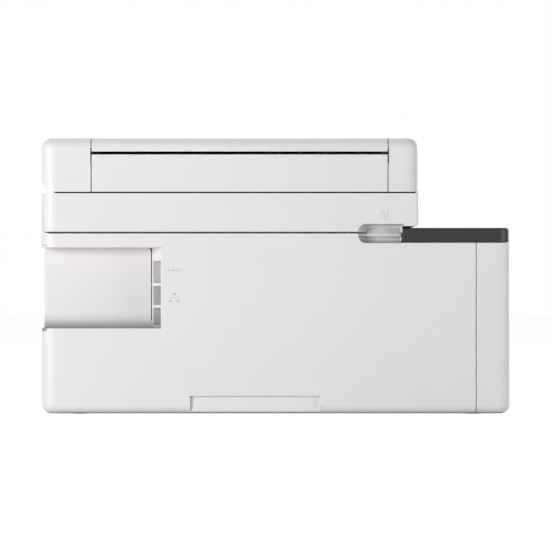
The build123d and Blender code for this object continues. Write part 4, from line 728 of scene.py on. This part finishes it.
class PRINTER_OT_port_fittings(bpy.types.Operator):
    """Fits contacts, shields, lights and pins into the three sockets"""

    bl_idname = "printer.port_fittings"
    bl_label = "Port Fittings"

    def execute(self, context):
        place, wide = port_place(), sizes().pin_width / MM
        bm = bmesh.new()
        for side, row in ((-1, -1), (1, -1), (-1, 1), (1, 1)):
            low = Vector((side * 1.62, -9.5, DATA_Z + row * 2.0 - wide))
            add_slab(bm, low, low + Vector((0.12, 7.0, 2 * wide)), 0.03, 1)
        piece("data_contacts", bm, "gold", "printer_base", place)

        bm = bmesh.new()
        for x0, x1, z0, z1 in (
            (-5.2, 5.2, 6.0, 6.4), (-5.2, 5.2, -6.4, -6.0),
            (-5.2, -4.7, -6.4, 6.4), (4.7, 5.2, -6.4, 6.4),
        ):
            add_slab(bm, (x0, -0.4, DATA_Z + z0), (x1, 0.3, DATA_Z + z1), 0.1)
        piece("data_shield_lip", bm, "chrome", "printer_base", place)

        bm = bmesh.new()
        for i in range(8):
            z = NETWORK_Z - 4.5 + i * 9.0 / 7.0
            add_slab(bm, (0.9, -11.5, z - wide / 2), (1.6, -2.6, z + wide / 2), 0.06, 1)
        piece("network_contacts", bm, "gold", "printer_base", place)

        bm = bmesh.new()
        for z in (NETWORK_Z - 7.1, NETWORK_Z + 7.1):
            add_slab(bm, (-6.8, -0.4, z - 1.1), (-4.6, 0.25, z + 1.1), 0.2)
        piece("network_lights", bm, "led", "printer_base", place)

        bm = bmesh.new()
        for z in (INLET_Z - 3.2, INLET_Z + 3.2):
            add_rod(bm, (0, -13.5, z), (0, -2.2, z), 1.25, round_by=0.3)
        piece("inlet_pins", bm, "chrome", "printer_base", place)
        return {"FINISHED"}


class PRINTER_OT_seam_shade(bpy.types.Operator):
    """Lays dark strips in the seams as painted shade, and a trim darkened as painted shade across
    the finger scoop
    """

    bl_idname = "printer.seals"
    bl_label = "Seam Seals"

    def execute(self, context):
        for name, (body, low, high) in SEAM_SHADE_STRIPS.items():
            bm = bmesh.new()
            add_slab(bm, low, high, 0.1, 1)
            piece(name, bm, "seal", body)

        # Dark plates at the lid's sides, painting the shade in its gaps.
        angles = [math.radians(a) for a in range(0, 76, 15)]
        rim = [(LID_ROUND_Y + LID_ROUND * math.cos(a), LID_ROUND_Z + LID_ROUND * math.sin(a))
               for a in angles]
        outline = [(172.0, 232.5), (LID_ROUND_Y + LID_ROUND, 232.5), *rim]
        for side, x0, x1 in (("left", -104.4, -103.22), ("right", 170.52, 171.7)):
            bm = bmesh.new()
            add_plate(bm, [(x0, y, z) for y, z in outline], (x1 - x0, 0, 0))
            piece("seal_lid_side_" + side, bm, "seal", "lid")

        # Dark strips painting the shade in the port bay's corner groove.
        bm = bmesh.new()
        floor, x0, x1 = 158.0, 115.45, 116.2
        for z0, z1 in ((84.4, 98.6), (100.7, 118.8), (121.0, 150.6)):
            add_slab(bm, (x0, floor - 0.7, z0), (x1, floor + 0.06, z1))
        top = [(x0, 150.6), (x1, 150.6), (118.0, 154.2), (117.2, 154.2)]
        add_plate(bm, [(x, floor - 0.3, z) for x, z in top], (0, 0.36, 0))
        piece("seal_bay_corner", bm, "seal", "printer_base")

        bm = bmesh.new()
        # Plate across the finger scoop, its colour darkened as painted shade.
        add_slab(bm, (-117.0, 167.03, 162.7), (-84.0, 167.3, 172.1), 0.1, 2)
        piece("scoop_trim", bm, "scoop", "printer_base")
        return {"FINISHED"}


class PRINTER_OT_ink(bpy.types.Operator):
    """Fills the four tanks and marks their levels on the window"""

    bl_idname = "printer.ink"
    bl_label = "Ink And Level Marks"

    def execute(self, context):
        tanks = {name: TANK_X + TANK_PITCH * i for i, name in enumerate(INK_NAMES)}
        level = TANK_LOW[2] + sizes().ink_level / MM
        for name, x in tanks.items():
            bm = bmesh.new()
            add_slab(bm, (x + TANK_LOW[0], *TANK_LOW[1:]),
                     (x + TANK_HIGH[0], TANK_HIGH[1], level), 0.8, 3)
            piece("ink_fill_" + name, bm, "ink_" + name, "printer_base")

        front = box_mm("ink_level_window")[0].y
        near, far = front - PROUD, front + 0.2
        bm = bmesh.new()
        for x in tanks.values():
            for z in (LEVEL_LOW, LEVEL_HIGH):
                add_slab(bm, (x - 6, near, z), (x + 6, far, z + 0.7))
            for k in range(1, LEVEL_STEPS):
                z = LEVEL_LOW + k * (LEVEL_HIGH - LEVEL_LOW) / LEVEL_STEPS
                add_slab(bm, (x - 2, near, z), (x + 2, far, z + 0.35))
            top, tip = LEVEL_HIGH + 3.2, LEVEL_HIGH + 1.4
            arrow = [(x - 1.6, near, top), (x + 1.6, near, top), (x, near, tip)]
            add_plate(bm, arrow, (0, 0.2, 0))
        piece("level_marks", bm, "mark", "printer_base")
        return {"FINISHED"}


class PRINTER_OT_display(bpy.types.Operator):
    """Draws the display's tiles and the power symbol"""

    bl_idname = "printer.display"
    bl_label = "Display And Key"

    def execute(self, context):
        low, high = box_mm("touch_screen")
        near, far = low.y - PROUD, low.y + 0.3
        tiles = [low.x + TILE_X + i * TILE_PITCH for i in range(3)]
        bm = bmesh.new()
        for x in tiles:
            add_slab(bm, (x, near, low.z + 7), (x + TILE_WIDE, far, low.z + 24), 2.0, 4, edges=1)
        add_slab(bm, (low.x + TILE_X, near, high.z - 5.6), (high.x - TILE_X, far, high.z - 4.6))
        piece("display_tiles", bm, "tile", "panel")

        # Two sheets on the first tile, a scanner on the second, two linked drops on the third.
        over, z = near - PROUD, low.z + 15.5
        sheets, scanner, link = (x + TILE_WIDE / 2 for x in tiles)
        bm = bmesh.new()
        for dx, dz in ((-2, 1.4), (1.2, -1.2)):
            add_slab(bm, (sheets + dx - 2.6, over, z + dz - 3.2),
                     (sheets + dx + 2.6, far, z + dz + 3.2), 0.5, 3, edges=1)
        add_slab(bm, (scanner - 6, over, z - 3.4), (scanner + 6, far, z - 1.6), 0.5, 3, edges=1)
        add_slab(bm, (scanner - 5, over, z + 0.2), (scanner + 5, far, z + 1.0))
        for x in (link - 2.6, link + 2.6):
            add_rod(bm, (x, over, z), (x, far, z), 2.0)
        add_slab(bm, (link - 2.6, over, z - 0.6), (link + 2.6, far, z + 0.6))
        piece("display_glyphs", bm, "mark", "panel")

        low, high = box_mm("power_button")
        x, near, z = (low.x + high.x) / 2, low.y - 0.04, (low.z + high.z) / 2
        bm = bmesh.new()
        add_arc(bm, (x, near, z), 2.1, 2.6, 0.3, sweep=300, turn=30)
        add_slab(bm, (x - 0.25, near, z + 0.8), (x + 0.25, low.y + 0.3, z + 3.1))
        piece("power_symbol", bm, "mark", "power_key")
        return {"FINISHED"}


class PRINTER_OT_paper_path(bpy.types.Operator):
    """Adds ribs to the drawer, output tray and flap, and the feeder's two side guides"""

    bl_idname = "printer.paper_path"
    bl_label = "Paper Path Details"

    def execute(self, context):
        bm = bmesh.new()
        for i in range(-5, 6):
            x = PAPER_X + i * 7.0
            add_slab(bm, (x - 0.8, -174.4, 34.6), (x + 0.8, -172.2, 43.2), 0.4)
        piece("drawer_grip_ribs", bm, "body_white", "drawer")

        low, high = box_mm("output_tray")
        bm = bmesh.new()
        for i in range(1, 10):
            x = low.x + (high.x - low.x) * i / 10
            add_slab(bm, (x - 0.7, low.y + 8, high.z - 0.2),
                     (x + 0.7, high.y - 6, high.z + 0.5), 0.25)
        piece("output_tray_ribs", bm, "grey_plastic", "out_leaf")

        low, high = box_mm("adf_bin")
        foot_top = high.z + 0.6 - 30 * 9.0 / (high.y - low.y)  # follows the bin's fall of 9 mm
        for side, name in ((-1, "left"), (1, "right")):
            bm = bmesh.new()
            x = FEEDER_X + side * sizes().guide_gap / MM / 2
            fence, foot = sorted((x, x + side * 2)), sorted((x, x - side * 12))
            add_slab(bm, (fence[0], low.y + 22, high.z - 6), (fence[1], low.y + 112, high.z + 9),
                     0.8, 3)
            add_slab(bm, (foot[0], low.y + 30, high.z - 5), (foot[1], low.y + 100, foot_top), 0.3)
            piece("feeder_guide_" + name, bm, "grey_plastic", "lid")

        low, high = box_mm("adf_flap")
        run = high.x - low.x - 30
        count = int(run * MM / sizes().rib_pitch)
        bm = bmesh.new()
        for i in range(count + 1):
            x = low.x + 15 + i * run / count
            add_slab(bm, (x - 0.7, low.y + 14, high.z - 4.6),
                     (x + 0.7, high.y - 24, high.z - 2.2), 0.3)
        piece("feeder_flap_ribs", bm, "body_white", "feeder_flap")
        return {"FINISHED"}


class PRINTER_OT_scanner_details(bpy.types.Operator):
    """Adds the lamp, the lens row, the white document film and the corner buffer"""

    bl_idname = "printer.scanner_details"
    bl_label = "Scanner Details"

    def execute(self, context):
        low, high = box_mm("scan_bar")
        bm = bmesh.new()
        add_slab(bm, (low.x + 14, low.y + 7.4, high.z - 2.2),
                 (high.x - 14, low.y + 9.6, high.z - 0.3), 0.4, 3)
        piece("scan_lamp", bm, "lamp", "sensor_bar")
        bm = bmesh.new()
        for i in range(24):
            x, y = low.x + 16 + i * 9.0, low.y + 11.4
            add_rod(bm, (x, y, high.z - 2.2), (x, y, high.z - 0.7), 0.9, segments=12)
        piece("scan_lens_row", bm, "glass", "sensor_bar")

        bm = bmesh.new()
        add_slab(bm, *box_mm("lid_pad"), 0.7, 3)
        pad = piece("document_film", bm, "foam", "lid")
        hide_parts("lid_pad")

        top = box_mm("scanner_housing")[1].z
        bm = bmesh.new()
        add_slab(bm, (-131.6, 173.0, top - 0.3), (-128.8, 178.8, top + 1.1), 0.3)
        piece("lid_buffer", bm, "body_white", "scanner_unit")
        return {"FINISHED"}


class PRINTER_OT_mechanism(bpy.types.Operator):
    """Adds the encoder film, the carriage's dots, dampers and nozzles, and the board's parts"""

    bl_idname = "printer.mechanism"
    bl_label = "Mechanism Details"

    def execute(self, context):
        bm = bmesh.new()
        add_slab(bm, (-116, 71.2, 138.4), (198, 71.5, 142.4))
        for x in (-116, 195):
            add_slab(bm, (x, 70.9, 137.4), (x + 3, 72.2, 143.4), 0.3)
        piece("encoder_film", bm, "encoder", "printer_base")

        low, high = box_mm("print_carriage")
        width = (high.x - low.x) / 4
        for i, name in enumerate(INK_NAMES):
            x = low.x + (i + 0.5) * width
            bm = bmesh.new()
            add_slab(bm, (x - 4, low.y - 0.04, low.z + 24), (x + 4, low.y + 0.3, low.z + 29),
                     1.2, 3, edges=1)
            piece("carriage_dot_" + name, bm, "cap_" + name, "carriage")
            bm = bmesh.new()
            half, y = width / 2 - 2.2, low.y + 40
            add_slab(bm, (x - half, low.y + 6, low.z + 5), (x + half, low.y + 56, low.z + 30),
                     1.2, 3)
            add_rod(bm, (x, y, low.z + 29.5), (x, y, low.z + 36), 2.6, round_by=0.5)
            piece("damper_" + name, bm, "black_plastic", "carriage")

        low, high = box_mm("print_heads")
        bm = bmesh.new()
        for x in (HEADS_X - 15, HEADS_X + 15):
            add_slab(bm, (x - 9, low.y + 4, low.z - 0.2), (x + 9, high.y - 4, low.z + 0.6), 0.15)
        piece("nozzle_plates", bm, "gold", "carriage")

        bm = bmesh.new()
        for z in (66, 90):
            add_slab(bm, (30, BOARD_FACE - 3, z), (66, BOARD_FACE, z + 5), 0.4)
        for i in range(9):
            x, z = -40 + i * 11, 122
            add_rod(bm, (x, BOARD_FACE, z), (x, BOARD_FACE - 10.1, z), 3.2, round_by=0.6)
        piece("board_parts", bm, "chrome", "printer_base")
        return {"FINISHED"}


def studio_floor():
    """Paper floor: lit as paper, and lifted to white for the camera."""
    bm = bmesh.new()
    bmesh.ops.create_grid(bm, x_segments=1, y_segments=1, size=FLOOR_SIZE)
    mesh = bpy.data.meshes.new("studio_floor")
    bm.to_mesh(mesh)
    bm.free()
    floor = bpy.data.objects.new("studio_floor", mesh)
    paper = Finish("Studio paper", PAPER, 0.9)
    grain = paper.use("mould", Pit_size=300.0, Drift_size=2.0)
    paper.link(paper.mix(grain.outputs["Drift"], PAPER_DARK, PAPER_LIGHT),
               paper.shader.inputs["Base Color"])
    bright = add(paper.tree, "ShaderNodeEmission", i_Strength=FLOOR_LIFT)
    lift = add(paper.tree, "ShaderNodeAddShader")
    paper.link(paper.shader.outputs[0], lift.inputs[0])
    paper.link(bright.outputs[0], lift.inputs[1])
    by_camera_ray(paper.tree, paper.shader, lift, paper.out)
    mesh.materials.append(paper.material)
    bpy.context.scene.collection.objects.link(floor)


def studio_world():
    """Soft light from all round, with a white backdrop for the camera."""
    world = bpy.data.worlds.new("Soft studio")
    world.use_nodes = True
    tree = world.node_tree
    tree.nodes.clear()
    soft = add(tree, "ShaderNodeBackground", i_Strength=SKY_STRENGTH)
    white = add(tree, "ShaderNodeBackground", i_Strength=BACKDROP_STRENGTH)
    for node in (soft, white):
        node.inputs["Color"].default_value = (1.0, 1.0, 1.0, 1.0)
    by_camera_ray(tree, soft, white, add(tree, "ShaderNodeOutputWorld"))
    return world


def by_camera_ray(tree, other, camera, out):
    """Surface that shows one shader to the camera and another to everything else."""
    seen = add(tree, "ShaderNodeLightPath")
    choose = add(tree, "ShaderNodeMixShader")
    tree.links.new(seen.outputs["Is Camera Ray"], choose.inputs[0])
    tree.links.new(other.outputs[0], choose.inputs[1])
    tree.links.new(camera.outputs[0], choose.inputs[2])
    tree.links.new(choose.outputs[0], out.inputs["Surface"])


class PRINTER_OT_studio(bpy.types.Operator):
    """Sets the floor, backdrop, soft lights and camera"""

    bl_idname = "printer.studio"
    bl_label = "Studio"

    def execute(self, context):
        scene = context.scene
        scene.view_settings.view_transform = "Standard"
        studio_floor()
        scene.world = studio_world()

        middle = (CAD_BOX[0] + CAD_BOX[1]) / 2
        for name, (place, width, power) in LIGHTS.items():
            lamp = bpy.data.lights.new(name, "AREA")
            lamp.shape, lamp.size, lamp.energy = "SQUARE", width, power
            made = bpy.data.objects.new(name, lamp)
            made.location = place
            made.rotation_euler = (middle - Vector(place)).to_track_quat("-Z", "Y").to_euler()
            scene.collection.objects.link(made)

        lens = bpy.data.cameras.new("camera")
        lens.lens, lens.sensor_width, lens.clip_end = LENS, SENSOR, CLIP_END
        camera = bpy.data.objects.new("camera", lens)
        camera.location = (0.0, CAD_BOX[1].y + sizes().view_distance, CAMERA_HEIGHT)
        camera.rotation_euler = (math.radians(90), 0.0, math.radians(180))
        scene.collection.objects.link(camera)
        scene.camera = camera
        return {"FINISHED"}


class PRINTER_PT_panel(bpy.types.Panel):
    """Lists the printer's operators with its colours and sizes"""

    bl_idname = "PRINTER_PT_panel"
    bl_label = "Printer"
    bl_space_type = "VIEW_3D"
    bl_region_type = "UI"
    bl_category = "Printer"

    def draw(self, context):
        for operator in OPERATORS:
            self.layout.operator(operator.bl_idname)
        for settings in (context.scene.printer_colours, context.scene.printer_sizes):
            for name in settings.__annotations__:
                self.layout.prop(settings, name)


OPERATORS = (
    PRINTER_OT_finishes,
    PRINTER_OT_rear_symbols,
    PRINTER_OT_port_fittings,
    PRINTER_OT_seam_shade,
    PRINTER_OT_ink,
    PRINTER_OT_display,
    PRINTER_OT_paper_path,
    PRINTER_OT_scanner_details,
    PRINTER_OT_mechanism,
    PRINTER_OT_studio,
)
CLASSES = (PrinterColours, PrinterSizes, *OPERATORS, PRINTER_PT_panel)


def register():
    for cls in CLASSES:
        bpy.utils.register_class(cls)
    bpy.types.Scene.printer_colours = PointerProperty(type=PrinterColours)
    bpy.types.Scene.printer_sizes = PointerProperty(type=PrinterSizes)


def unregister():
    del bpy.types.Scene.printer_sizes
    del bpy.types.Scene.printer_colours
    for cls in reversed(CLASSES):
        bpy.utils.unregister_class(cls)


def main():
    register()
    for operator in OPERATORS:
        group_name, name = operator.bl_idname.split(".")
        if getattr(getattr(bpy.ops, group_name), name)() != {"FINISHED"}:
            raise RuntimeError(operator.bl_label + " did not finish")


if __name__ == "__main__":
    main()
